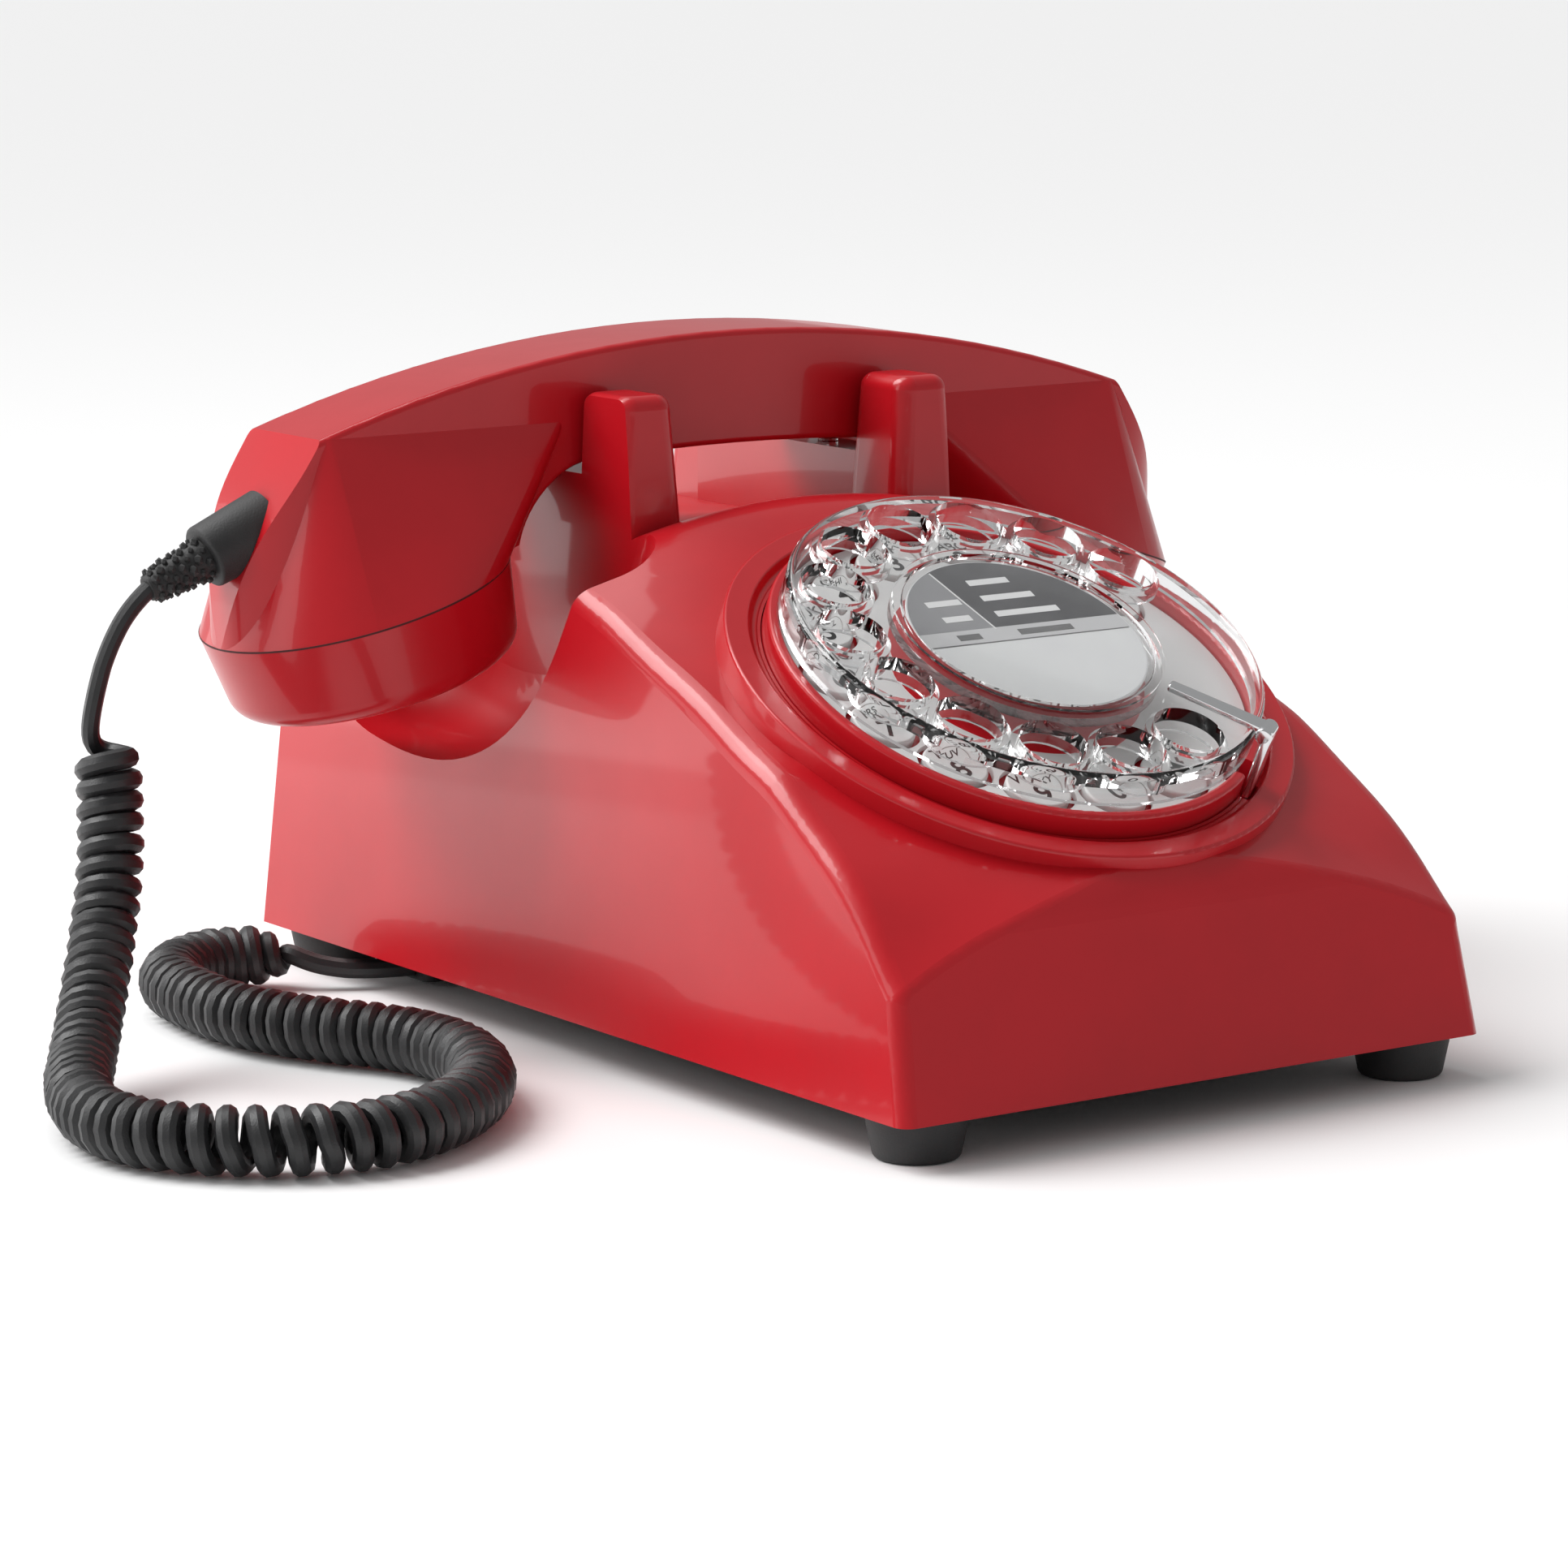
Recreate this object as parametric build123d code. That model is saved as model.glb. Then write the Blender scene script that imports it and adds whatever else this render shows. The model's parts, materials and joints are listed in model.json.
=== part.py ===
from build123d import *
import os
from math import cos, degrees, pi, radians, sin, sqrt, tan

# Desk telephone with a clear finger wheel, a handset in a four-horn cradle and a curly handset cord.
# Frame: millimetres, +X to the user's right, +Y away from the user, +Z up.
# The origin is on the table, below the centre of the case.

os.makedirs("parts", exist_ok=True)

# ---------------------------------------------------------------- case
CASE_HALF_WIDTH = 65.0      # at the bottom edge
CASE_HALF_DEPTH = 109.7
CASE_BOTTOM = 8.0           # gap under the case, filled by the feet
CASE_WALL = 2.5
SIDE_DRAFT = 4.5            # degrees
FRONT_DRAFT = 12.0
REAR_DRAFT = 4.0
FACE_TILT = 27.5            # the sloping dial face, degrees from level
FACE_Y, FACE_Z = -52.1, 69.97   # a point of the dial face on the centre line
NOSE_RADIUS = 14.0          # rounding between the front and the dial face
EDGE_RADIUS = 5.0           # rounding along both sides
FRONT_CORNER_RADIUS = 3.0
RIDGE_START, RIDGE_END = 2.0, 34.0  # where the dial face turns over into the rear deck
DECK_Z = 91.0
CROWN_DROP = [(-124, 17), (-105, 12), (-85, 4.5), (-70, 2.5), (-52, 3.5), (-36, 5.5), (-12, 9),
              (5, 12), (130, 12)]
SECTION_COUNT = 22

# ---------------------------------------------------------------- cradle
SCOOP_INNER_X = 37.0        # inner wall of the side scoops
SCOOP_END_RADIUS = 14.0
SCOOP_PROFILE = [(-2, 92), (2.5, 84), (7, 75), (14, 65), (28, 54.5), (48, 49.3), (68, 50.5), (82, 55),
                 (89, 63), (92, 75), (93, 92)]
HORN_X = (26.3, 37.9)       # front horns at the top
HORN_Y = (17.0, 33.0)
HORN_TOP = 119.5
HORN_FLARE = 3.0            # how much wider the foot of a horn is on each side
HORN_EDGE = 3.5
HUMP_X = (31.0, 57.0)       # rear horns
HUMP_Y = (CASE_HALF_DEPTH - 25.7, CASE_HALF_DEPTH - 4.7)
HUMP_TOP = 111.5
SADDLE_Y = (30.0, 90.0)
SADDLE_TOP = 103.8
SADDLE_INNER_X = HORN_X[0] + 1

# ---------------------------------------------------------------- base
BASE_THICKNESS = 2.5
BASE_GAP = 0.3
FOOT_RADIUS, FOOT_TIP_RADIUS = 9.2, 7.6
FOOT_X, FOOT_Y = CASE_HALF_WIDTH - 10.5, CASE_HALF_DEPTH - 10.7
PLATE_CORNER = 3.0
PLATE_TOP = CASE_BOTTOM + BASE_THICKNESS
SCREW_RADIUS = 1.5
SCREW_LENGTH = 12.0
SCREW_HEAD_RADIUS = 2.8
SCREW_HEAD_HEIGHT = 1.8
POST_RADIUS = 4.0
POST_X, POST_Y = CASE_HALF_WIDTH - 17, CASE_HALF_DEPTH - 25.7
POST_TOPS = (32.0, 40.0)    # front and rear
POST_SPOTS = [(-POST_X, -POST_Y), (POST_X, -POST_Y), (-POST_X, POST_Y), (POST_X, POST_Y)]
SOCKET_HALF_WIDTH = 8.0
SOCKET_BOTTOM, SOCKET_TOP = CASE_BOTTOM + 7, CASE_BOTTOM + 22
SOCKET_GAP = 0.2
PLUNGER_RADIUS = 2.0
PLUNGER_GAP = 0.1
PLUNGER_X = (SADDLE_INNER_X + SCOOP_INNER_X) / 2
HOOK_Y = 50.5               # depth of the plungers and of the bar that joins them

# ---------------------------------------------------------------- dial (sizes in the dial's own plane)
WHEEL_Y, WHEEL_Z = -58.1, 81.5  # centre of the finger wheel's top face
WHEEL_RADIUS = 45.0
WHEEL_THICKNESS = 3.2
WHEEL_RIM_DEPTH = 6.4
WHEEL_RIM_WALL = 1.6
HOLE_COUNT = 12
HOLE_RADIUS = 6.55
HOLE_RING_RADIUS = WHEEL_RADIUS - 9
HOLE_FIRST = 26.0           # degrees, anticlockwise from +X
HOLE_PITCH = 24.2
HOLE_COLLAR = 1.1
HOLE_COLLAR_DEPTH = 5.0
STOP_ANGLE = 306.5
FACE_DEPTH = 13.0           # the case's face lies this far below the wheel's top
BEZEL_HEIGHT = 2.2
CUP_RADIUS = WHEEL_RADIUS + 1.6
CUP_WALL = 2.2
CUP_TOP = -7.6
CUP_FLOOR = -12.0           # top of the cup's floor
FACE_HOLE_RADIUS = CUP_RADIUS + 0.9
BEZEL_RADIUS = FACE_HOLE_RADIUS + 6.5
PLATE_THICKNESS = 1.2
DISC_RADIUS = HOLE_RADIUS - 0.55
DISC_HEIGHT = 0.7
LABEL_RECESS_RADIUS = 24.0
LABEL_RADIUS = LABEL_RECESS_RADIUS - 1.4
LABEL_RECESS = 2.0
CARD_THICKNESS = 0.4
COVER_THICKNESS = 1.2
STOP_TIP_RADIUS = 27.5      # inner end of the finger stop
STOP_REACH = WHEEL_RADIUS + 3.6
STOP_HALF_WIDTH = 1.9
STOP_LEG_HALF_WIDTH = 2.6
STOP_GAP = 0.7              # above the wheel
STOP_THICKNESS = 1.5
STOP_FOOT = 6.0
SPINDLE_RADIUS = 3.0
HUB_RADIUS = 6.5
RUN_GAP = 0.05              # radial running clearance of turning shafts

# dial mechanism below the cup
FRAME_RADIUS = CUP_RADIUS - 8.6
FRAME_TOP = -24.0
FRAME_THICKNESS = 1.6
GEAR_MODULE = 1.0
MAIN_TEETH, PINION_TEETH = 44, 11
SECOND_MODULE = 0.7
SECOND_TEETH, GOVERNOR_TEETH = 30, 10
GEAR_WIDTH = 2.4

# ---------------------------------------------------------------- handset
HANDSET_Y = 48.0            # centre plane
HANDLE_WIDTH = 26.4
HANDLE_TOP = 129.0
HANDSET_SHOULDER = (92.6, 113.7)    # x, z of the top's ends
CUP_X, CUP_Z = 78.5, 82.8   # centre of the seam between body and cap
CUP_R = 30.2
CUP_TILT = 16.0             # degrees; the caps face inwards and down
CAP_HEIGHT = 17.0
CAP_TAPER = 2.6
CAP_EDGE = 4.5
CAP_WALL = 2.4
CAP_BORE = CUP_R - CAP_TAPER - 2.2
HANDLE_UNDER = 107.0
HANDLE_WAIST = 33.5         # where the underside turns down into the bells
HANDSET_WALL = 2.6
BELL_LENGTH = 55.0          # of the bell where it meets the handle's top

# ---------------------------------------------------------------- cord
WIRE_RADIUS = 1.95
LEAD_RADIUS = 1.7
COIL_RADIUS = 6.25


def save(node, shape):
    """Write one node and report its volume."""
    export_step(shape, f"parts/{node}.step")
    print(f"{node}: {len(shape.solids())} solids, {shape.volume:.0f} mm3")


def box_between(low, high):
    """A box from its lowest to its highest corner."""
    size = [b - a for a, b in zip(low, high)]
    middle = [(a + b) / 2 for a, b in zip(low, high)]
    return Pos(*middle) * Box(*size)


def rod(centre, radius, bottom, top):
    """An upright round bar."""
    return Pos(centre[0], centre[1], (bottom + top) / 2) * Cylinder(radius, top - bottom)


def ring(outer, inner, bottom, top, centre=(0, 0)):
    """An upright tube."""
    return rod(centre, outer, bottom, top) - rod(centre, inner, bottom - 1, top + 1)


# ================================================================ case shell
def face_height(y):
    """Height of the dial face's plane at a depth y."""
    return FACE_Z + tan(radians(FACE_TILT)) * (y - FACE_Y)


def crest(y):
    """Height of the case along its centre line."""
    if y <= RIDGE_START:
        return face_height(y)
    if y >= RIDGE_END:
        return DECK_Z
    span = RIDGE_END - RIDGE_START
    t = (y - RIDGE_START) / span
    start = (2 * t**3 - 3 * t**2 + 1) * face_height(RIDGE_START)
    slope = (t**3 - 2 * t**2 + t) * span * tan(radians(FACE_TILT))
    return start + slope + (3 * t**2 - 2 * t**3) * DECK_Z


def crown_drop(y):
    """How far the side edge lies below the centre line."""
    for (a, low), (b, high) in zip(CROWN_DROP, CROWN_DROP[1:]):
        if y <= b:
            t = max(0, (y - a) / (b - a))
            return low + (high - low) * t * t * (3 - 2 * t)
    return CROWN_DROP[-1][1]


def hull_section(y, inset, radius):
    """One upright cross-section of the case, crowned and rounded at its shoulders."""
    def half_width(z):
        return CASE_HALF_WIDTH - inset - (z - CASE_BOTTOM) * tan(radians(SIDE_DRAFT))

    centre_z = crest(y) - inset
    edge_z = centre_z - crown_drop(y)
    edge_x = half_width(edge_z)
    low_z = CASE_BOTTOM - 2
    low_x = half_width(low_z)
    outline = make_face([
        Line((-low_x, low_z), (low_x, low_z)),
        Line((low_x, low_z), (edge_x, edge_z)),
        ThreePointArc((edge_x, edge_z), (0, centre_z), (-edge_x, edge_z)),
        Line((-edge_x, edge_z), (-low_x, low_z)),
    ])
    outline = fillet([v for v in outline.vertices() if v.Y > low_z + 1], radius)
    waiting = sorted(outline.edges(), key=lambda e: e.center().Y)
    ordered = []
    corner = Vector(-low_x, low_z)
    while waiting:
        for edge in waiting:
            if (edge @ 0 - corner).length < 1e-4:
                step = edge
            elif (edge @ 1 - corner).length < 1e-4:
                step = edge.reversed()
            else:
                continue
            ordered.append(step)
            corner = step @ 1
            waiting.remove(edge)
            break
    return Plane(origin=(0, y, 0), x_dir=(1, 0, 0), z_dir=(0, -1, 0)) * Face(Wire(ordered))


def case_hull(inset=0.0):
    """The closed outer form of the case, or the same form pulled in by a wall."""
    reach = CASE_HALF_DEPTH + 14
    stations = [-reach + 2 * reach * i / SECTION_COUNT for i in range(SECTION_COUNT + 1)]
    body = loft([hull_section(y, inset, max(EDGE_RADIUS - inset, 1.5)) for y in stations])
    lean = tan(radians(FRONT_DRAFT))
    nose_y = -CASE_HALF_DEPTH + inset
    for _ in range(30):
        nose_z = face_height(nose_y) - inset + 0.05
        nose_y = -CASE_HALF_DEPTH + inset + lean * (nose_z - CASE_BOTTOM)
    clear_y = 60.0
    clear_z = face_height(clear_y) - inset + 3
    top_z = DECK_Z + 60
    rear_lean = tan(radians(REAR_DRAFT)) * (top_z - CASE_BOTTOM)
    front = (-CASE_HALF_DEPTH + inset, CASE_BOTTOM)
    nose = FilletPolyline([front, (nose_y, nose_z), (clear_y, clear_z)], radius=NOSE_RADIUS - inset)
    rest = Polyline([(clear_y, clear_z), (CASE_HALF_DEPTH - inset - rear_lean, top_z),
                     (CASE_HALF_DEPTH - inset, CASE_BOTTOM), front])
    side = make_face([*nose.edges(), *rest.edges()])
    body = body & extrude(Plane.YZ * side, amount=CASE_HALF_WIDTH * 2, both=True)
    body = max(body.solids(), key=lambda s: s.volume)
    if inset:
        return body
    corners = [e for e in body.edges()
               if e.center().Y < -CASE_HALF_DEPTH + 15 and abs(e.center().X) > CASE_HALF_WIDTH - 15
               and e.center().Z > CASE_BOTTOM + 2]
    return fillet(corners, FRONT_CORNER_RADIUS)


def pushed_out(points, amount):
    """The points of an open outline, each moved square to it, to its right-hand side."""
    ends = [points[0], *points, points[-1]]
    moved = []
    for before, point, after in zip(ends, points, ends[2:]):
        dx, dy = after[0] - before[0], after[1] - before[1]
        length = sqrt(dx * dx + dy * dy)
        moved.append((point[0] + amount * dy / length, point[1] - amount * dx / length))
    return moved


def scoop(grow=0.0):
    """The space that one handset cup hangs in, on the right side."""
    top = DECK_Z + 50
    points = pushed_out(SCOOP_PROFILE, grow)
    first, last = points[0], points[-1]
    profile = make_face([Spline(points), Line(last, (last[0], top)), Line((last[0], top), (first[0], top)),
                         Line((first[0], top), first)])
    start = SCOOP_INNER_X - grow
    cut = extrude(Plane.YZ.offset(start) * profile, amount=CASE_HALF_WIDTH)
    if grow:
        return cut
    floor = [e for e in cut.edges() if abs(e.center().X - start) < 0.01 and e.geom_type != GeomType.LINE
             and e.length > 60]
    return fillet(floor, SCOOP_END_RADIUS)


def tapered_block(x, y, top, bottom, flare, edge, inset=0.0):
    """A block with rounded corners that widens towards its foot, and a rounded top."""
    middle_x, middle_y = (x[0] + x[1]) / 2, (y[0] + y[1]) / 2
    wide, deep = x[1] - x[0] - 2 * inset, y[1] - y[0] - 2 * inset
    corner = max(edge - inset, 1.0)
    upper = Pos(middle_x, middle_y, top - inset) * RectangleRounded(wide, deep, corner)
    lower = Pos(middle_x, middle_y, bottom) * RectangleRounded(wide + 2 * flare, deep + flare, corner)
    block = loft([lower, upper])
    if inset:
        return block
    rim = [e for e in block.edges() if abs(e.center().Z - top) < 0.01]
    return fillet(rim, edge * 0.8)


def cradle(inset=0.0):
    """Front horn, saddle and rear horn of the right side."""
    foot = DECK_Z - 12
    horn = tapered_block(HORN_X, HORN_Y, HORN_TOP, foot, HORN_FLARE, HORN_EDGE, inset)
    hump = tapered_block(HUMP_X, HUMP_Y, HUMP_TOP, foot, HORN_FLARE, HORN_EDGE * 1.4, inset)
    saddle = box_between((SADDLE_INNER_X + inset, SADDLE_Y[0], foot),
                         (SCOOP_INNER_X + 1 - inset, SADDLE_Y[1], SADDLE_TOP - inset))
    return [horn, hump, saddle]


def dial_place():
    """Location of the dial's own frame: x to the right, y up the slope, z out of the face."""
    tilt = radians(FACE_TILT)
    return Plane(origin=(0, WHEEL_Y, WHEEL_Z), x_dir=(1, 0, 0), z_dir=(0, -sin(tilt), cos(tilt)))


DIAL = dial_place()


def build_case():
    """Moulded shell with scoops, horns, dial opening and screw posts."""
    shell = case_hull()
    cavity = case_hull(CASE_WALL)
    room = scoop()
    wide_room = scoop(CASE_WALL)
    for piece in cradle():
        shell = shell + piece + mirror(piece, about=Plane.YZ)
    for piece in cradle(CASE_WALL):
        cavity = cavity + piece + mirror(piece, about=Plane.YZ)
    shell = shell - room - mirror(room, about=Plane.YZ)
    cavity = cavity - wide_room - mirror(wide_room, about=Plane.YZ)
    opening = DIAL * rod((0, 0), FACE_HOLE_RADIUS, -FACE_DEPTH - 12, 20)
    shell = shell - cavity - opening - DIAL * notch()
    web_x = CASE_HALF_WIDTH - CASE_WALL - 4
    for x, y in POST_SPOTS:
        post_top = POST_TOPS[y > 0]
        shell = shell + rod((x, y), POST_RADIUS, PLATE_TOP, post_top)
        web = sorted([x, web_x if x > 0 else -web_x])
        shell = shell + box_between((web[0], y - 1, PLATE_TOP + 4), (web[1], y + 1, post_top - 4))
        shell = shell - rod((x, y), SCREW_RADIUS, PLATE_TOP - 1, PLATE_TOP + SCREW_LENGTH)
    for side in (-1, 1):
        guide = rod((side * PLUNGER_X, HOOK_Y), PLUNGER_RADIUS + PLUNGER_GAP, SADDLE_TOP - 44, SADDLE_TOP + 5)
        shell = shell - guide
    socket_low = (-SOCKET_HALF_WIDTH - SOCKET_GAP, CASE_HALF_DEPTH - 6, SOCKET_BOTTOM - SOCKET_GAP)
    socket_high = (SOCKET_HALF_WIDTH + SOCKET_GAP, CASE_HALF_DEPTH + 1, SOCKET_TOP + SOCKET_GAP)
    shell = shell - box_between(socket_low, socket_high)
    return max(shell.solids(), key=lambda s: s.volume)


# ================================================================ base
def build_base():
    """Flat base plate that closes the case from below."""
    draft = tan(radians(SIDE_DRAFT)) * BASE_THICKNESS
    half_x = CASE_HALF_WIDTH - CASE_WALL - draft - BASE_GAP
    front = -CASE_HALF_DEPTH + CASE_WALL + tan(radians(FRONT_DRAFT)) * BASE_THICKNESS + BASE_GAP
    rear = CASE_HALF_DEPTH - CASE_WALL - tan(radians(REAR_DRAFT)) * BASE_THICKNESS - BASE_GAP
    plate = box_between((-half_x, front, CASE_BOTTOM), (half_x, rear, PLATE_TOP))
    upright = [e for e in plate.edges() if abs((e @ 1 - e @ 0).Z) > 1]
    plate = fillet(upright, PLATE_CORNER)
    for x, y in POST_SPOTS:
        plate = plate - rod((x, y), SCREW_RADIUS + 0.1, CASE_BOTTOM - 1, PLATE_TOP + 1)
    for x in (-FOOT_X, FOOT_X):
        for y in (-FOOT_Y, FOOT_Y):
            plate = plate - rod((x, y), SCREW_RADIUS + 0.1, CASE_BOTTOM - 1, PLATE_TOP + 1)
    return plate


def build_foot():
    """One tapered rubber foot with a countersunk hole and its plug in the plate."""
    foot = Cone(FOOT_TIP_RADIUS, FOOT_RADIUS, CASE_BOTTOM)
    lower = [e for e in foot.edges() if e.center().Z < -1]
    foot = Pos(0, 0, CASE_BOTTOM / 2) * fillet(lower, 1.2)
    stem = rod((0, 0), SCREW_RADIUS, CASE_BOTTOM - 0.5, PLATE_TOP + 1.5)
    return foot + stem


def screw(length):
    """A pan-head screw, head down, with its shank pointing up from z = 0 and a slot in the head."""
    head = rod((0, 0), SCREW_HEAD_RADIUS, -SCREW_HEAD_HEIGHT, 0)
    shank = rod((0, 0), SCREW_RADIUS - 0.05, 0, length)
    slot = box_between((-4, -0.4, -SCREW_HEAD_HEIGHT - 1), (4, 0.4, -SCREW_HEAD_HEIGHT + 0.9))
    return head + shank - slot


# ================================================================ dial
def polar(radius, angle):
    """A point in the dial's plane."""
    return radius * cos(radians(angle)), radius * sin(radians(angle))


def hole_spots(radius=HOLE_RING_RADIUS):
    """Centres of the finger holes."""
    return [polar(radius, HOLE_FIRST + HOLE_PITCH * i) for i in range(HOLE_COUNT)]


def build_finger_wheel():
    """Clear wheel with collared finger holes, a deep rim and a recess for the label."""
    wheel = rod((0, 0), WHEEL_RADIUS, -WHEEL_THICKNESS, 0)
    edge = [e for e in wheel.edges() if abs(e.center().Z) < 0.01]
    wheel = fillet(edge, 1.2)
    wheel = wheel + ring(WHEEL_RADIUS, WHEEL_RADIUS - WHEEL_RIM_WALL, -WHEEL_RIM_DEPTH, -1.5)
    wheel = wheel + rod((0, 0), LABEL_RECESS_RADIUS + 1.6, -WHEEL_RIM_DEPTH + 1.4, 0.5)
    wheel = wheel - rod((0, 0), LABEL_RECESS_RADIUS, 0.5 - LABEL_RECESS, 2)
    wheel = wheel + rod((0, 0), HUB_RADIUS, -WHEEL_RIM_DEPTH, -WHEEL_THICKNESS)
    for spot in hole_spots():
        wheel = wheel + rod(spot, HOLE_RADIUS + HOLE_COLLAR, -HOLE_COLLAR_DEPTH, 0)
    for spot in hole_spots():
        wheel = wheel - rod(spot, HOLE_RADIUS, -10, 2)
    return wheel - rod((0, 0), SPINDLE_RADIUS, -10, 2)


def build_finger_stop():
    """Chromed hook over the wheel, with its leg in the notch of the cup."""
    top = STOP_GAP + STOP_THICKNESS
    finger = box_between((STOP_TIP_RADIUS, -STOP_HALF_WIDTH, STOP_GAP), (STOP_REACH, STOP_HALF_WIDTH, top))
    tip = [e for e in finger.edges()
           if abs(e.center().X - STOP_TIP_RADIUS) < 0.01 and abs((e @ 1 - e @ 0).Z) > 1]
    finger = fillet(tip, STOP_HALF_WIDTH - 0.4)
    wide = STOP_LEG_HALF_WIDTH
    leg = box_between((STOP_REACH - 1.8, -wide, CUP_FLOOR - 1), (STOP_REACH, wide, top))
    hook = finger + leg
    bend = [e for e in hook.edges()
            if abs(e.center().Z - top) < 0.01 and abs(e.center().X - STOP_REACH) < 0.01]
    hook = fillet(bend, 1.2)
    foot = box_between((STOP_REACH - STOP_FOOT, -wide, CUP_FLOOR - 2.4), (STOP_REACH, wide, CUP_FLOOR - 1))
    return Rot(0, 0, STOP_ANGLE) * (hook + foot)


def build_bezel():
    """Raised ring around the dial, with a skirt that follows the crowned face."""
    top = -FACE_DEPTH + BEZEL_HEIGHT
    crown_skirt = 4.5
    step = top - 1.4
    outline = [(FACE_HOLE_RADIUS - 0.3, -FACE_DEPTH - crown_skirt), (FACE_HOLE_RADIUS - 0.3, step),
               (CUP_RADIUS + 1.9, step), (CUP_RADIUS + 2.8, top), (BEZEL_RADIUS, top),
               (BEZEL_RADIUS, -FACE_DEPTH - crown_skirt)]
    profile = make_face(FilletPolyline(outline, radius=0.6, close=True))
    face_ring = DIAL * revolve(Plane.XZ * profile, Axis.Z) - case_hull()
    lip = ring(FACE_HOLE_RADIUS - 0.1, CUP_RADIUS + 0.2, -FACE_DEPTH - 2, step)
    return (max(face_ring.solids(), key=lambda s: s.volume) + DIAL * lip) - DIAL * notch()


def notch():
    """Space for the leg of the finger stop."""
    wide = STOP_LEG_HALF_WIDTH + 0.1
    low = (STOP_REACH - STOP_FOOT - 0.2, -wide, CUP_FLOOR - 3)
    return Rot(0, 0, STOP_ANGLE) * box_between(low, (STOP_REACH + 0.1, wide, CUP_TOP + 3))


def build_cup():
    """Red cup that holds the number plate and carries the mechanism."""
    cup = ring(CUP_RADIUS, CUP_RADIUS - CUP_WALL, CUP_FLOOR - 2, CUP_TOP)
    rim = [e for e in cup.edges() if abs(e.center().Z - CUP_TOP) < 0.01]
    cup = fillet(rim, 0.7)
    cup = cup + rod((0, 0), CUP_RADIUS - CUP_WALL + 0.1, CUP_FLOOR - 2, CUP_FLOOR)
    cup = cup + ring(CUP_RADIUS, CUP_RADIUS - CUP_WALL, CUP_FLOOR - 6, CUP_FLOOR - 2)
    cup = cup - rod((0, 0), SPINDLE_RADIUS + RUN_GAP, CUP_FLOOR - 10, 0)
    for angle in (45, 135, 225, 315):
        cup = cup + rod(polar(34, angle), 3, FRAME_TOP, CUP_FLOOR - 2)
    return cup - notch()


def build_number_plate():
    """Pale plate with a window round each number disc."""
    bottom = CUP_FLOOR + 0.6
    plate = ring(CUP_RADIUS - CUP_WALL - 0.4, 9, bottom, bottom + PLATE_THICKNESS)
    plate = plate + ring(12, 9, CUP_FLOOR, bottom)
    for spot in hole_spots():
        plate = plate - rod(spot, DISC_RADIUS + 1.1, bottom - 1, bottom + PLATE_THICKNESS + 1)
    return plate - notch()


def build_number_discs():
    """Grey number discs that stand on the cup's floor below the finger holes."""
    top = CUP_FLOOR + 0.6 + PLATE_THICKNESS + DISC_HEIGHT
    discs = []
    for spot in hole_spots():
        disc = rod(spot, DISC_RADIUS, CUP_FLOOR, top)
        edge = [e for e in disc.edges() if abs(e.center().Z - top) < 0.01]
        discs.append(fillet(edge, 0.5).solid())
    return Compound(children=discs)


def gear(teeth, module, width, bore, bottom, turn=0.0):
    """A spur gear with straight-flanked teeth, slimmed so that it runs free."""
    pitch = teeth * module / 2
    root, tip = pitch - 1.15 * module, pitch + 0.7 * module
    half_root, half_tip = 0.76 * module, 0.38 * module
    outline = []
    for i in range(teeth):
        middle = turn + 360 * i / teeth
        for radius, half in ((root, -half_root), (tip, -half_tip), (tip, half_tip), (root, half_root)):
            outline.append(polar(radius, middle + degrees(half / radius)))
    wheel = extrude(make_face(Polyline(outline, close=True)), amount=width)
    return Pos(0, 0, bottom) * wheel - rod((0, 0), bore, bottom - 1, bottom + width + 1)


GEAR_BOTTOM = FRAME_TOP + 3.0
PINION_DISTANCE = (MAIN_TEETH + PINION_TEETH) * GEAR_MODULE / 2 + 0.15
GOVERNOR_DISTANCE = (SECOND_TEETH + GOVERNOR_TEETH) * SECOND_MODULE / 2 + 0.12
PINION_ANGLE = 90.0
GOVERNOR_ANGLE = 200.0      # direction from the pinion to the governor
SHAFT_RADIUS = 1.2
SECOND_BOTTOM = FRAME_TOP - FRAME_THICKNESS - 4.0


def pinion_spot():
    """Axis of the pulse pinion in the dial's plane."""
    return polar(PINION_DISTANCE, PINION_ANGLE)


def governor_spot():
    """Axis of the governor in the dial's plane."""
    x, y = pinion_spot()
    dx, dy = polar(GOVERNOR_DISTANCE, GOVERNOR_ANGLE)
    return x + dx, y + dy


def build_spindle():
    """Shaft that turns with the finger wheel, with a collar below the frame."""
    top = 0.5 - LABEL_RECESS
    shaft = rod((0, 0), SPINDLE_RADIUS, SECOND_BOTTOM - 6, top)
    return shaft + ring(SPINDLE_RADIUS + 2, SPINDLE_RADIUS - 0.5, SECOND_BOTTOM - 4, SECOND_BOTTOM - 2)


def build_pinion():
    """Pulse pinion, cam and second wheel on one shaft."""
    shaft = rod((0, 0), SHAFT_RADIUS, SECOND_BOTTOM - 5, GEAR_BOTTOM + GEAR_WIDTH + 2)
    small = gear(PINION_TEETH, GEAR_MODULE, GEAR_WIDTH, SHAFT_RADIUS - 0.3, GEAR_BOTTOM, 180 / PINION_TEETH + 270)
    second = gear(SECOND_TEETH, SECOND_MODULE, 1.6, SHAFT_RADIUS - 0.3, SECOND_BOTTOM)
    cam_bottom = SECOND_BOTTOM - 3.5
    cam = rod((0, 0), 4.2, cam_bottom, cam_bottom + 2)
    cam = cam - box_between((2.6, -6, cam_bottom - 1), (9, 6, cam_bottom + 3))
    x, y = pinion_spot()
    return Pos(x, y, 0) * (shaft + small + second + cam)


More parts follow.
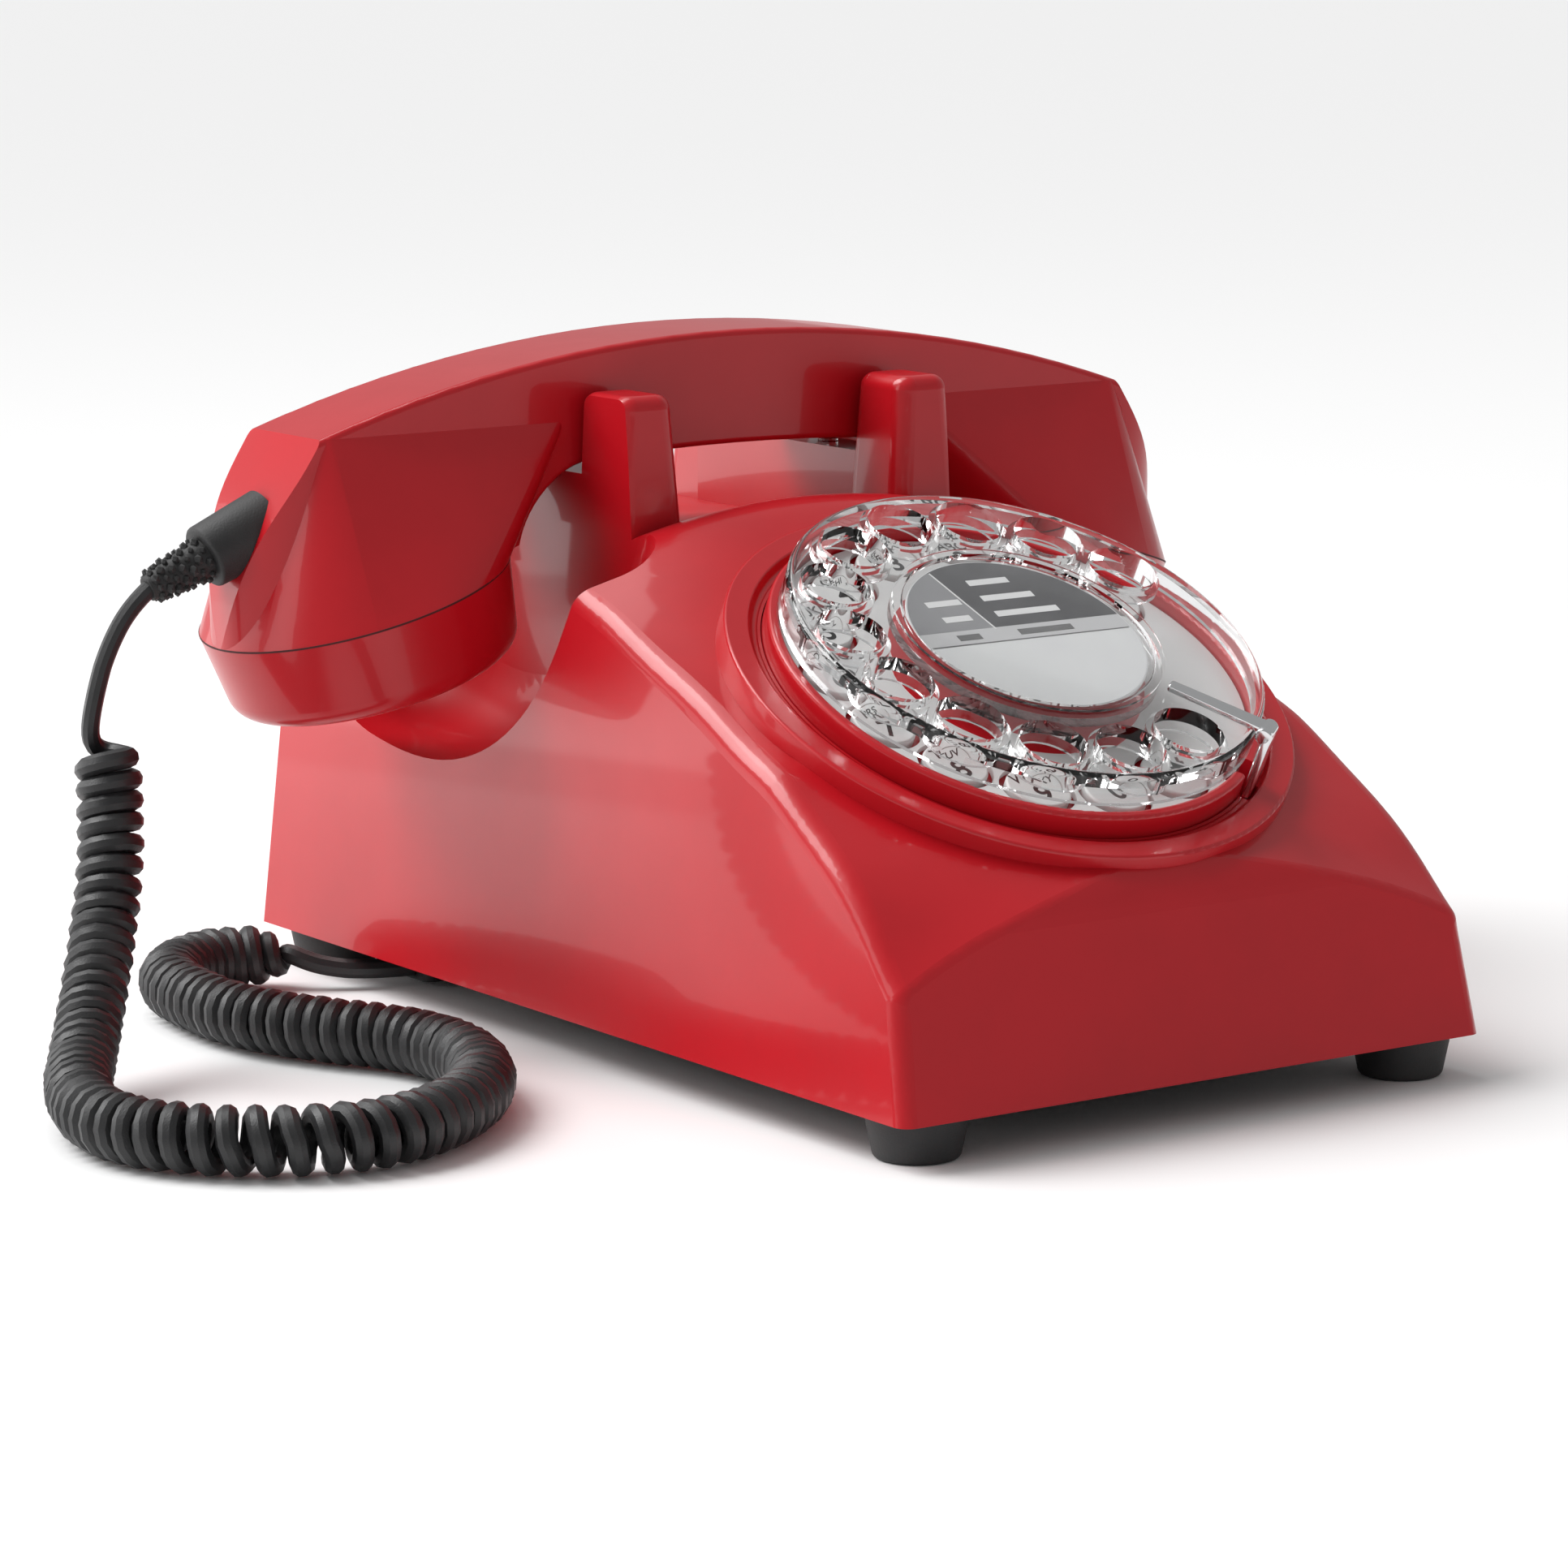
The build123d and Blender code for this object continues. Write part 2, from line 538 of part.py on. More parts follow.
def build_governor():
    """Small gear, shaft and two brake shoes on a cross bar."""
    shaft = rod((0, 0), SHAFT_RADIUS, SECOND_BOTTOM - 12, FRAME_TOP - 0.4)
    start = GOVERNOR_ANGLE + 180 - 180 / GOVERNOR_TEETH
    phase = (GOVERNOR_ANGLE % (360 / SECOND_TEETH)) * SECOND_TEETH / GOVERNOR_TEETH
    small = gear(GOVERNOR_TEETH, SECOND_MODULE, 2.4, SHAFT_RADIUS - 0.3, SECOND_BOTTOM - 0.4, start + phase)
    bar_bottom = SECOND_BOTTOM - 8
    bar = box_between((-6, -1, bar_bottom), (6, 1, bar_bottom + 2))
    shoes = [rod((sign * 5.5, 0), 2, bar_bottom - 1.5, bar_bottom + 3) for sign in (-1, 1)]
    x, y = governor_spot()
    return Pos(x, y, 0) * (shaft + small + bar + shoes[0] + shoes[1])


def build_dial_frame():
    """Steel plate that carries the shafts, with a bored boss for each."""
    top = FRAME_TOP
    plate = rod((0, 0), FRAME_RADIUS, top - FRAME_THICKNESS, top)
    plate = plate + ring(7, SPINDLE_RADIUS - 1, top, GEAR_BOTTOM - 0.5)
    plate = plate - rod((0, 0), SPINDLE_RADIUS + RUN_GAP, top - 9, top + 9)
    plate = plate + rod(pinion_spot(), SHAFT_RADIUS + 1.6, top - FRAME_THICKNESS - 1.5, top)
    for spot in (pinion_spot(), governor_spot()):
        plate = plate - rod(spot, SHAFT_RADIUS + RUN_GAP, top - 9, top + 9)
    for angle in (20, 160, 270):
        plate = plate - rod(polar(24, angle), 5, top - 9, top + 9)
    return plate


def build_contacts():
    """Spring contacts beside the pulse cam, clamped in an insulating stack."""
    x, y = pinion_spot()
    low = SECOND_BOTTOM - 4.5
    stack = box_between((x + 6, y - 19, low), (x + 13, y - 11.5, FRAME_TOP - FRAME_THICKNESS))
    leaves = []
    for offset_x in (7, 9.3, 11.6):
        leaves.append(box_between((x + offset_x, y - 11.5, low + 1), (x + offset_x + 0.4, y + 5, low + 3.4)))
    return stack, Compound(children=[leaf.solid() for leaf in leaves])


# ================================================================ handset
def cup_plane(side=1, along=0.0):
    """Plane of a cup's seam, its z pointing into the handset, moved along that direction."""
    tilt = radians(CUP_TILT)
    normal = Vector(side * sin(tilt), 0, cos(tilt))
    centre = Vector(side * CUP_X, HANDSET_Y, CUP_Z) + normal * along
    return Plane(origin=centre, x_dir=(cos(tilt), 0, -side * sin(tilt)), z_dir=normal)


def handset_profile(inset=0.0):
    """Side view of the handset body as a face in the XZ plane."""
    tilt = radians(CUP_TILT)
    radius = CUP_R - inset
    outer = (CUP_X + radius * cos(tilt), CUP_Z - radius * sin(tilt))
    inner = (CUP_X - radius * cos(tilt), CUP_Z + radius * sin(tilt))
    under, top = HANDLE_UNDER + inset, HANDLE_TOP - inset
    waist = (HANDLE_WAIST + 0.4 * inset, under - 1.2)
    x, z = HANDSET_SHOULDER[0] - inset, HANDSET_SHOULDER[1] - inset
    end = Spline([(x, z), (outer[0] - 4.4, z - 17), outer], tangents=[(0.6, -1), (0.02, -1)])
    bow = Spline([inner, (inner[0] - 6.5, inner[1] + 10.4), waist], tangents=[(-0.25, 1), (-1, 0.08)])
    edges = [ThreePointArc((-x, z), (0, top), (x, z)), end, Line(outer, inner), bow,
             ThreePointArc(waist, (0, under), (-waist[0], waist[1]))]
    edges += [mirror(e, about=Plane.YZ) for e in (end, bow)]
    edges.append(Line((-outer[0], outer[1]), (-inner[0], inner[1])))
    return Plane(origin=(0, HANDSET_Y, 0), x_dir=(1, 0, 0), z_dir=(0, -1, 0)) * make_face(edges)


def round_face(plane, radius, count):
    """A disc whose edge is split into equal arcs, so that it lofts to a rounded rectangle."""
    step = 360 / count

    def place(angle):
        return plane.from_local_coords(Vector(*polar(radius, angle), 0))

    arcs = [ThreePointArc(place(step * (i + 0.5)), place(step * (i + 1)), place(step * (i + 1.5))).edge()
            for i in range(count)]
    return Face(Wire(arcs))


def bell(side, inset=0.0):
    """The bell between the handle and a cup's seam: round below, flat-sided above."""
    low = round_face(cup_plane(side), CUP_R - inset, 8)
    middle = side * (HANDSET_SHOULDER[0] + 0.6 - BELL_LENGTH / 2)
    top_plane = Plane(origin=(middle, HANDSET_Y, HANDSET_SHOULDER[1]), x_dir=(1, 0, 0), z_dir=(0, 0, 1))
    top = top_plane * RectangleRounded(BELL_LENGTH - 2 * inset, HANDLE_WIDTH - 2 * inset, 3)
    return loft([low, top])


def slab(profile, half):
    """The profile extruded to both sides of the handset's centre plane in one piece."""
    return extrude(Pos(0, half, 0) * profile, amount=2 * half)


def handset_form(inset=0.0):
    """The closed outer form of the handset body, or the same form pulled in by a wall."""
    profile = handset_profile(inset)
    handle = slab(profile, HANDLE_WIDTH / 2 - inset)
    if not inset:
        long_edges = [e for e in handle.edges() if e.length > 60 and e.geom_type == GeomType.CIRCLE]
        handle = fillet(long_edges, 1.2)
    reach = CUP_X + (CUP_R - inset) * cos(radians(CUP_TILT))
    plan = RectangleRounded(2 * reach, HANDLE_WIDTH - 2 * inset, HANDLE_WIDTH / 2 - inset - 0.1)
    solid = handle & extrude(Pos(0, HANDSET_Y, CUP_Z - CUP_R) * plan, amount=3 * CUP_R)
    limit = slab(profile, CUP_R + 2)
    for side in (-1, 1):
        solid = solid + (bell(side, inset) & limit)
    return solid


def build_handset_body():
    """Hollow body: a flat-sided handle that swells into two bells."""
    body = handset_form() - handset_form(HANDSET_WALL)
    for side in (-1, 1):
        bore = cup_plane(side) * Cylinder(CUP_R - HANDSET_WALL, 3)
        body = body - bore
    hole = Plane(origin=BOOT_ROOT, z_dir=BOOT_DIRECTION) * Pos(0, 0, -4) * Cylinder(2.6, 16)
    return max((body - hole).solids(), key=lambda s: s.volume)


BOOT_ROOT = (-103.2, HANDSET_Y - 1.8, 95.6)
BOOT_DIRECTION = Vector(-0.92, 0.02, -0.39).normalized()
BOOT_LENGTH = 21.0


def build_cap(side):
    """Screw-on cap with a rounded lower edge and sound holes."""
    plane = cup_plane(side, -CAP_HEIGHT)
    cap = plane * Pos(0, 0, CAP_HEIGHT / 2) * Cone(CUP_R - CAP_TAPER, CUP_R, CAP_HEIGHT)
    low = min(cap.edges(), key=lambda e: (e.center() - Vector(*plane.origin)).length)
    cap = fillet([low], CAP_EDGE)
    floor = cup_plane(side, -CAP_HEIGHT + CAP_WALL)
    hollow = floor * Pos(0, 0, CAP_HEIGHT / 2) * Cylinder(CAP_BORE, CAP_HEIGHT)
    cap = cap - hollow
    for ring_radius, count in ((0, 1), (6, 6), (12, 12)):
        for i in range(count):
            x, y = polar(ring_radius, 360 * i / count)
            cap = cap - plane * Pos(x, y, 0) * Cylinder(1.1, 12)
    return cap


def build_capsule(side, radius, height):
    """Round sound capsule that sits in a cap, with a stepped edge and a terminal boss."""
    base = cup_plane(side, -CAP_HEIGHT + CAP_WALL)
    body = base * Pos(0, 0, height / 2 + 0.3) * Cylinder(radius, height)
    flange = base * Pos(0, 0, 1.3) * Cylinder(radius + 1.6, 2)
    boss = base * Pos(0, 0, height + 1.3) * Box(14, 6, 2)
    return body + flange + boss


def build_boot():
    """Flexible boot: a collar that fits the handset's end, then a tapered relief."""
    plane = Plane(origin=BOOT_ROOT, z_dir=BOOT_DIRECTION)
    collar = plane * Pos(0, 0, 1.5) * Cone(6.8, 6.2, 15) - handset_form()
    collar = max(collar.solids(), key=lambda s: s.volume)
    relief = plane * Pos(0, 0, BOOT_LENGTH - 6.5) * Cone(4.4, 3.1, 13)
    stem = plane * Pos(0, 0, 1) * Cylinder(2.55, 10)
    return collar + relief + stem


# ================================================================ cord
BOOT_END = Vector(*BOOT_ROOT) + BOOT_DIRECTION * BOOT_LENGTH
LEAD_ROUTE = [tuple(BOOT_END), (-126.4, 47.0, 84.3), (-130.6, 47.7, 77.3), (-133.6, 48.4, 68.5),
              (-135.0, 48.8, 59.7)]
COIL_ROUTE = [
    (-131.2, 48.5, 58.6), (-132.0, 45.0, 42.0), (-139.5, 36.5, 24.0), (-152.0, 20.0, 9.5),
    (-166.0, -3.0, 6.6), (-170.5, -27.0, 6.4), (-157.5, -46.5, 6.4), (-134.0, -56.5, 6.4),
    (-109.0, -44.0, 6.4), (-92.5, -20.0, 6.4), (-91.5, 4.0, 6.4), (-102.0, 22.0, 6.4), (-109.5, 42.0, 6.4),
    (-108.0, 64.0, 6.4), (-105.5, 75.0, 6.4), (-99.0, 84.5, 6.4), (-90.0, 90.0, 6.4), (-80.5, 89.0, 6.4),
    (-74.0, 83.0, 6.4),
]
BASE_ROUTE = [(-73.7, 82.7, 5.8), (-68.6, 78.4, 4.4), (-61.5, 74.4, 3.7), (-52.6, 72.4, 3.7)]


def route_radii(points):
    """Arc radius at each corner of a route, and the turn there in degrees."""
    radii, turns = [], []
    vectors = [Vector(*p) for p in points]
    for a, b, c in zip(vectors, vectors[1:], vectors[2:]):
        turn = (b - a).get_angle(c - b)
        shorter = min((b - a).length, (c - b).length)
        radii.append(0.45 * shorter / tan(radians(turn / 2)))
        turns.append(turn)
    return radii, turns


def tube(points, radius, label):
    """A round tube along straight runs joined by tangent arcs."""
    radii, turns = route_radii(points)
    path = FilletPolyline(points, radius=radii)
    direction = path % 0
    section = Plane(origin=path @ 0, z_dir=direction) * Circle(radius)
    solid = sweep(section, path=path)
    print(f"{label}: length {path.length:.1f} mm, radii {[round(r, 1) for r in radii]}, "
          f"turns {[round(t) for t in turns]}, volume ratio {solid.volume / (pi * radius**2 * path.length):.3f}")
    return solid


def build_gland():
    """Clip below the base plate that holds the cord where it enters the case."""
    block = box_between((-52.5, 67, 1.2), (-40, 78, CASE_BOTTOM))
    upright = [e for e in block.edges() if abs((e @ 1 - e @ 0).Z) > 1]
    return fillet(upright, 2)


# ================================================================ bell, hook switch and circuit
GONG_RADIUS = 17.0
GONG_WALL = 1.2
GONG_X = 20.4
GONG_Y = 86.0
GONG_BASE = 40.0
GONG_TOP = GONG_BASE + 8
GONG_POST_RADIUS = 2.0
COIL_X, COIL_Z = 12.0, 36.0
COIL_Y = (24.0, 44.0)
POLE_END = 47.2
ARMATURE_Z = (34.4, 37.6)
STRIKER_PIVOT = (0, 52.0)
HAMMER_RADIUS = 1.6
HOOK_TOP = HANDLE_UNDER - 1.9
HOOK_BAR_Z = 76.0
BOARD_THICKNESS = 1.6
BOARD_TOP = PLATE_TOP + 7.6
BOARD_PIN_RADIUS = 1.55
SWITCH_REAR = 57.0


def build_gong():
    """Shallow brass bell, open below, with a hub bored for its post."""
    under = GONG_TOP - GONG_WALL
    bore = GONG_POST_RADIUS + 0.1
    outline = [(bore, GONG_TOP), (GONG_RADIUS - 5, GONG_TOP), (GONG_RADIUS, GONG_BASE),
               (GONG_RADIUS - GONG_WALL, GONG_BASE), (GONG_RADIUS - 5.6, under), (bore, under)]
    return revolve(Plane.XZ * make_face(Polyline(outline, close=True)), Axis.Z)


def build_ringer_frame():
    """Bracket on the base plate with the gong posts, the yoke and the striker's pivot pin."""
    low = PLATE_TOP
    foot = box_between((-28, 44.5, low), (28, 96, low + 2))
    for x in (-GONG_X, GONG_X):
        foot = foot + rod((x, GONG_Y), GONG_POST_RADIUS + 2, low + 2, GONG_TOP - GONG_WALL)
        foot = foot + rod((x, GONG_Y), GONG_POST_RADIUS, low + 2, GONG_TOP + 1)
    foot = foot + box_between((-3, 45, low + 2), (3, 49, 34))
    foot = foot + rod(STRIKER_PIVOT, 3.5, low + 2, 33.5) + rod(STRIKER_PIVOT, 1.5, low + 2, 39)
    foot = foot + box_between((-3, 48, low + 2), (3, 52, 30))
    return foot


def build_coils():
    """Two ringer coils on their cores, lying along Y in front of the armature."""
    start, end = COIL_Y
    coils = []
    for x in (-COIL_X, COIL_X):
        def lying(radius, near, far):
            return Pos(x, (near + far) / 2, COIL_Z) * Rot(90, 0, 0) * Cylinder(radius, far - near)

        coil = lying(8, start, end) + lying(9.5, start, start + 1.5) + lying(9.5, end - 1.5, end)
        foot = box_between((x - 5, start + 2, PLATE_TOP), (x + 5, end - 2, COIL_Z - 4))
        coils.append((coil + lying(3, end - 1, POLE_END) + foot).solid())
    return Compound(children=coils)


def build_striker():
    """Armature and hammer that rock about the pivot pin."""
    hub = ring(4, 1.5 + RUN_GAP, 34, 38, STRIKER_PIVOT)
    armature = box_between((-17, 48.5, ARMATURE_Z[0]), (17, 51, ARMATURE_Z[1]))
    armature = armature - rod(STRIKER_PIVOT, 2.5, 30, 40)
    arm = box_between((-0.8, 55, 35), (0.8, GONG_Y, 37))
    body = hub + armature + arm
    return body + rod((0, GONG_Y), HAMMER_RADIUS, 35, 44.5) + Pos(0, GONG_Y, 44.5) * Sphere(HAMMER_RADIUS)


def build_hook_bar():
    """Two plungers joined by a bar below the saddles, pressed down by the handset."""
    reach = PLUNGER_X + 1.2
    body = box_between((-reach, HOOK_Y - 2, HOOK_BAR_Z), (reach, HOOK_Y + 2, HOOK_BAR_Z + 3))
    for x in (-PLUNGER_X, PLUNGER_X):
        pin = rod((x, HOOK_Y), PLUNGER_RADIUS, HOOK_BAR_Z, HOOK_TOP)
        tip = [e for e in pin.edges() if abs(e.center().Z - HOOK_TOP) < 0.01]
        body = body + fillet(tip, 0.8)
    return body


def build_hook_switch():
    """Switch block under the bar, with a button that the bar works."""
    block = box_between((-8, HOOK_Y - 6.5, HOOK_BAR_Z - 20), (8, SWITCH_REAR, HOOK_BAR_Z - 5))
    return block + rod((0, HOOK_Y), 2, HOOK_BAR_Z - 5, HOOK_BAR_Z - 0.3)


def build_switch_bracket():
    """Upright bracket from the base plate to the hook switch."""
    top = HOOK_BAR_Z - 8
    column = box_between((-6, SWITCH_REAR, PLATE_TOP + 2), (6, SWITCH_REAR + 3, top))
    window = box_between((-4, SWITCH_REAR - 5, 30), (4, SWITCH_REAR + 5, 44))
    return column - window


def build_board():
    """Circuit board on four posts, with its components in one node apart."""
    low = BOARD_TOP - BOARD_THICKNESS
    board = box_between((-42, -78, low), (42, -12, BOARD_TOP))
    posts = []
    for x in (-38, 38):
        for y in (-74, -16):
            board = board - rod((x, y), BOARD_PIN_RADIUS + 0.05, low - 1, BOARD_TOP + 2)
            post = rod((x, y), 3, PLATE_TOP, low) + rod((x, y), BOARD_PIN_RADIUS, low - 0.1, BOARD_TOP + 1)
            posts.append(post.solid())
    return board, Compound(children=posts)


def build_components():
    """Transformer, capacitors, relay and resistors that stand on the board."""
    top = BOARD_TOP
    pieces = [box_between((-36, -60, top), (-18, -42, top + 14)),
              box_between((-10, -72, top), (6, -60, top + 9)), rod((16, -66), 5, top, top + 13),
              rod((28, -66), 4, top, top + 11), rod((-28, -28), 5, top, top + 12)]
    for i in range(6):
        pieces.append(box_between((-6 + 7 * i, -50, top), (-3.6 + 7 * i, -42, top + 2.6)))
        pieces.append(box_between((-6 + 7 * i, -36, top), (-3 + 7 * i, -31, top + 4)))
    return Compound(children=[p.solid() for p in pieces])


def build_socket():
    """Line socket in the rear wall: a box with a keyed opening."""
    rear = CASE_HALF_DEPTH - tan(radians(REAR_DRAFT)) * 6 - 0.2
    body = box_between((-SOCKET_HALF_WIDTH, rear - 16, SOCKET_BOTTOM), (SOCKET_HALF_WIDTH, rear, SOCKET_TOP))
    hole = box_between((-5, rear - 13, SOCKET_BOTTOM + 2), (5, rear + 1, SOCKET_BOTTOM + 10))
    key = box_between((-2, rear - 13, SOCKET_BOTTOM + 9), (2, rear + 1, SOCKET_BOTTOM + 12.5))
    return body - hole - key


def build_terminals():
    """Terminal block with a row of screws."""
    block = box_between((-50, 30, PLATE_TOP), (-38, 62, PLATE_TOP + 8))
    for i in range(5):
        block = block + rod((-44, 34 + 6 * i), 1.8, PLATE_TOP + 7, PLATE_TOP + 9.4)
    return block


def build_weight():
    """Steel weight on the base plate that keeps the case from sliding."""
    return box_between((CASE_HALF_WIDTH - 29, 0, PLATE_TOP), (CASE_HALF_WIDTH - 11, 72, PLATE_TOP + 5))


def main():
    save("case", build_case())
    save("base_plate", build_base())
    foot = build_foot()
    for name, x, y in (("front_left", -FOOT_X, -FOOT_Y), ("front_right", FOOT_X, -FOOT_Y),
                       ("rear_left", -FOOT_X, FOOT_Y), ("rear_right", FOOT_X, FOOT_Y)):
        save(f"foot_{name}", Pos(x, y, 0) * foot)
    screws = [(Pos(x, y, CASE_BOTTOM) * screw(SCREW_LENGTH)).solid() for x, y in POST_SPOTS]
    save("base_screws", Compound(children=screws))

    save("bezel_ring", build_bezel())
    save("dial_cup", DIAL * build_cup())
    save("number_plate", DIAL * build_number_plate())
    save("number_discs", DIAL * build_number_discs())
    save("finger_stop", DIAL * build_finger_stop())
    save("finger_wheel", DIAL * build_finger_wheel())
    card_bottom = 0.5 - LABEL_RECESS
    save("label_card", DIAL * rod((0, 0), LABEL_RADIUS, card_bottom, card_bottom + CARD_THICKNESS))
    cover_bottom = card_bottom + CARD_THICKNESS
    cover = rod((0, 0), LABEL_RECESS_RADIUS - 0.1, cover_bottom, cover_bottom + COVER_THICKNESS)
    save("label_cover", DIAL * cover)
    save("dial_spindle", DIAL * build_spindle())
    save("main_gear", DIAL * gear(MAIN_TEETH, GEAR_MODULE, GEAR_WIDTH, SPINDLE_RADIUS, GEAR_BOTTOM))
    save("pulse_pinion", DIAL * build_pinion())
    save("governor", DIAL * build_governor())
    save("dial_frame", DIAL * build_dial_frame())
    stack, leaves = build_contacts()
    save("contact_stack", DIAL * stack)
    save("contact_springs", DIAL * leaves)

    save("handset_body", build_handset_body())
    save("mouth_cap", build_cap(-1))
    save("ear_cap", build_cap(1))
    save("transmitter", build_capsule(-1, CAP_BORE - 5.3, 8))
    save("receiver", build_capsule(1, CAP_BORE - 4.3, 10))
    save("cord_boot", build_boot())

    save("handset_lead", tube(LEAD_ROUTE, LEAD_RADIUS, "handset lead"))
    save("hanging_coil", tube(COIL_ROUTE, COIL_RADIUS, "coil"))
    save("base_lead", tube(BASE_ROUTE, WIRE_RADIUS, "base lead"))
    save("cord_gland", build_gland())

    gong = build_gong()
    save("gong_left", Pos(-GONG_X, GONG_Y, 0) * gong)
    save("gong_right", Pos(GONG_X, GONG_Y, 0) * gong)
    save("ringer_frame", build_ringer_frame())
    save("ringer_coils", build_coils())
    save("striker", build_striker())
    save("hook_bar", build_hook_bar())
    save("hook_switch", build_hook_switch())
    save("switch_bracket", build_switch_bracket())
    board, posts = build_board()
    save("circuit_board", board)
    save("board_posts", posts)
    save("components", build_components())
    save("line_socket", build_socket())
    save("terminal_block", build_terminals())
    save("ballast", build_weight())


main()
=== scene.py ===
"""A desk telephone: red moulded shells, a clear finger wheel, a handset in its cradle and a curly cord."""
from __future__ import annotations

import json
import logging
import math
from dataclasses import dataclass, field
from enum import Enum

import bmesh
import bpy
from mathutils import Matrix, Vector


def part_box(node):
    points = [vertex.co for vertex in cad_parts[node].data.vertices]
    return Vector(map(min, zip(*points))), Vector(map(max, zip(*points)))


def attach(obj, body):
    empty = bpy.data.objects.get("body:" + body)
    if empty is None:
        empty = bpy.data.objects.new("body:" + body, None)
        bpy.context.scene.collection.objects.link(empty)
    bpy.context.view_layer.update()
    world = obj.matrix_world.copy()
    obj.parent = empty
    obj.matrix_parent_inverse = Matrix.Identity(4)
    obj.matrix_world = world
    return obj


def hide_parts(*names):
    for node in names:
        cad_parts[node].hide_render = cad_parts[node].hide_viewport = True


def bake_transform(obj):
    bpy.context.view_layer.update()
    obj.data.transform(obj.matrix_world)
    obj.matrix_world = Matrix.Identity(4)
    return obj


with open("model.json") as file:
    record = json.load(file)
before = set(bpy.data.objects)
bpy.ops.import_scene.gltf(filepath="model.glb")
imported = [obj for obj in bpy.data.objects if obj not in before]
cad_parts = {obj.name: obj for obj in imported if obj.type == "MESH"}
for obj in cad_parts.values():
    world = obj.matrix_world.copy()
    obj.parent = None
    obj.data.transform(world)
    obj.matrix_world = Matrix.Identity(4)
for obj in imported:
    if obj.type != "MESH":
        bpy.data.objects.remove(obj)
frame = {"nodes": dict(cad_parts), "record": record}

LOG = logging.getLogger("telephone")
MM = 0.001


class Body(Enum):
    """The bodies that pieces ride on."""

    ROOT = "root"
    DIAL = "dial"
    HANDSET = "handset"


# ---------------------------------------------------------------- shader groups
def new_group(name: str) -> bpy.types.ShaderNodeTree:
    """Start an empty shader node group.

    Args:
        name: The group's name.

    Returns:
        The group's node tree.
    """
    return bpy.data.node_groups.new(name, "ShaderNodeTree")


def group_socket(tree: bpy.types.ShaderNodeTree, name: str, way: str, kind: str, value: object = None) -> None:
    """Add an input or output to a shader group.

    Args:
        tree: The group.
        name: The socket's name.
        way: "INPUT" or "OUTPUT".
        kind: "Float", "Vector" or "Color".
        value: The default of an input.
    """
    socket = tree.interface.new_socket(name=name, in_out=way, socket_type=f"NodeSocket{kind}")
    if value is not None:
        socket.default_value = value


def build_grain_group() -> bpy.types.ShaderNodeTree:
    """Build the fine surface texture that every moulded and rubber finish shares.

    Returns:
        A group that turns a position into a bumped normal.
    """
    tree = new_group("surface_grain")
    group_socket(tree, "Vector", "INPUT", "Vector")
    group_socket(tree, "Scale", "INPUT", "Float", 900.0)
    group_socket(tree, "Depth", "INPUT", "Float", 0.05)
    group_socket(tree, "Wave", "INPUT", "Float", 0.0)
    group_socket(tree, "Normal", "OUTPUT", "Vector")
    nodes, links = tree.nodes, tree.links
    given, result = nodes.new("NodeGroupInput"), nodes.new("NodeGroupOutput")
    fine = nodes.new("ShaderNodeTexNoise")
    fine.inputs["Detail"].default_value = 3.0
    broad = nodes.new("ShaderNodeTexNoise")
    broad.inputs["Scale"].default_value = 26.0
    broad.inputs["Detail"].default_value = 1.0
    fine_bump, broad_bump = nodes.new("ShaderNodeBump"), nodes.new("ShaderNodeBump")
    fine_bump.inputs["Distance"].default_value = 0.0002
    broad_bump.inputs["Distance"].default_value = 0.002
    links.new(given.outputs["Vector"], fine.inputs["Vector"])
    links.new(given.outputs["Vector"], broad.inputs["Vector"])
    links.new(given.outputs["Scale"], fine.inputs["Scale"])
    links.new(broad.outputs["Fac"], broad_bump.inputs["Height"])
    links.new(given.outputs["Wave"], broad_bump.inputs["Strength"])
    links.new(fine.outputs["Fac"], fine_bump.inputs["Height"])
    links.new(given.outputs["Depth"], fine_bump.inputs["Strength"])
    links.new(broad_bump.outputs["Normal"], fine_bump.inputs["Normal"])
    links.new(fine_bump.outputs["Normal"], result.inputs["Normal"])
    return tree


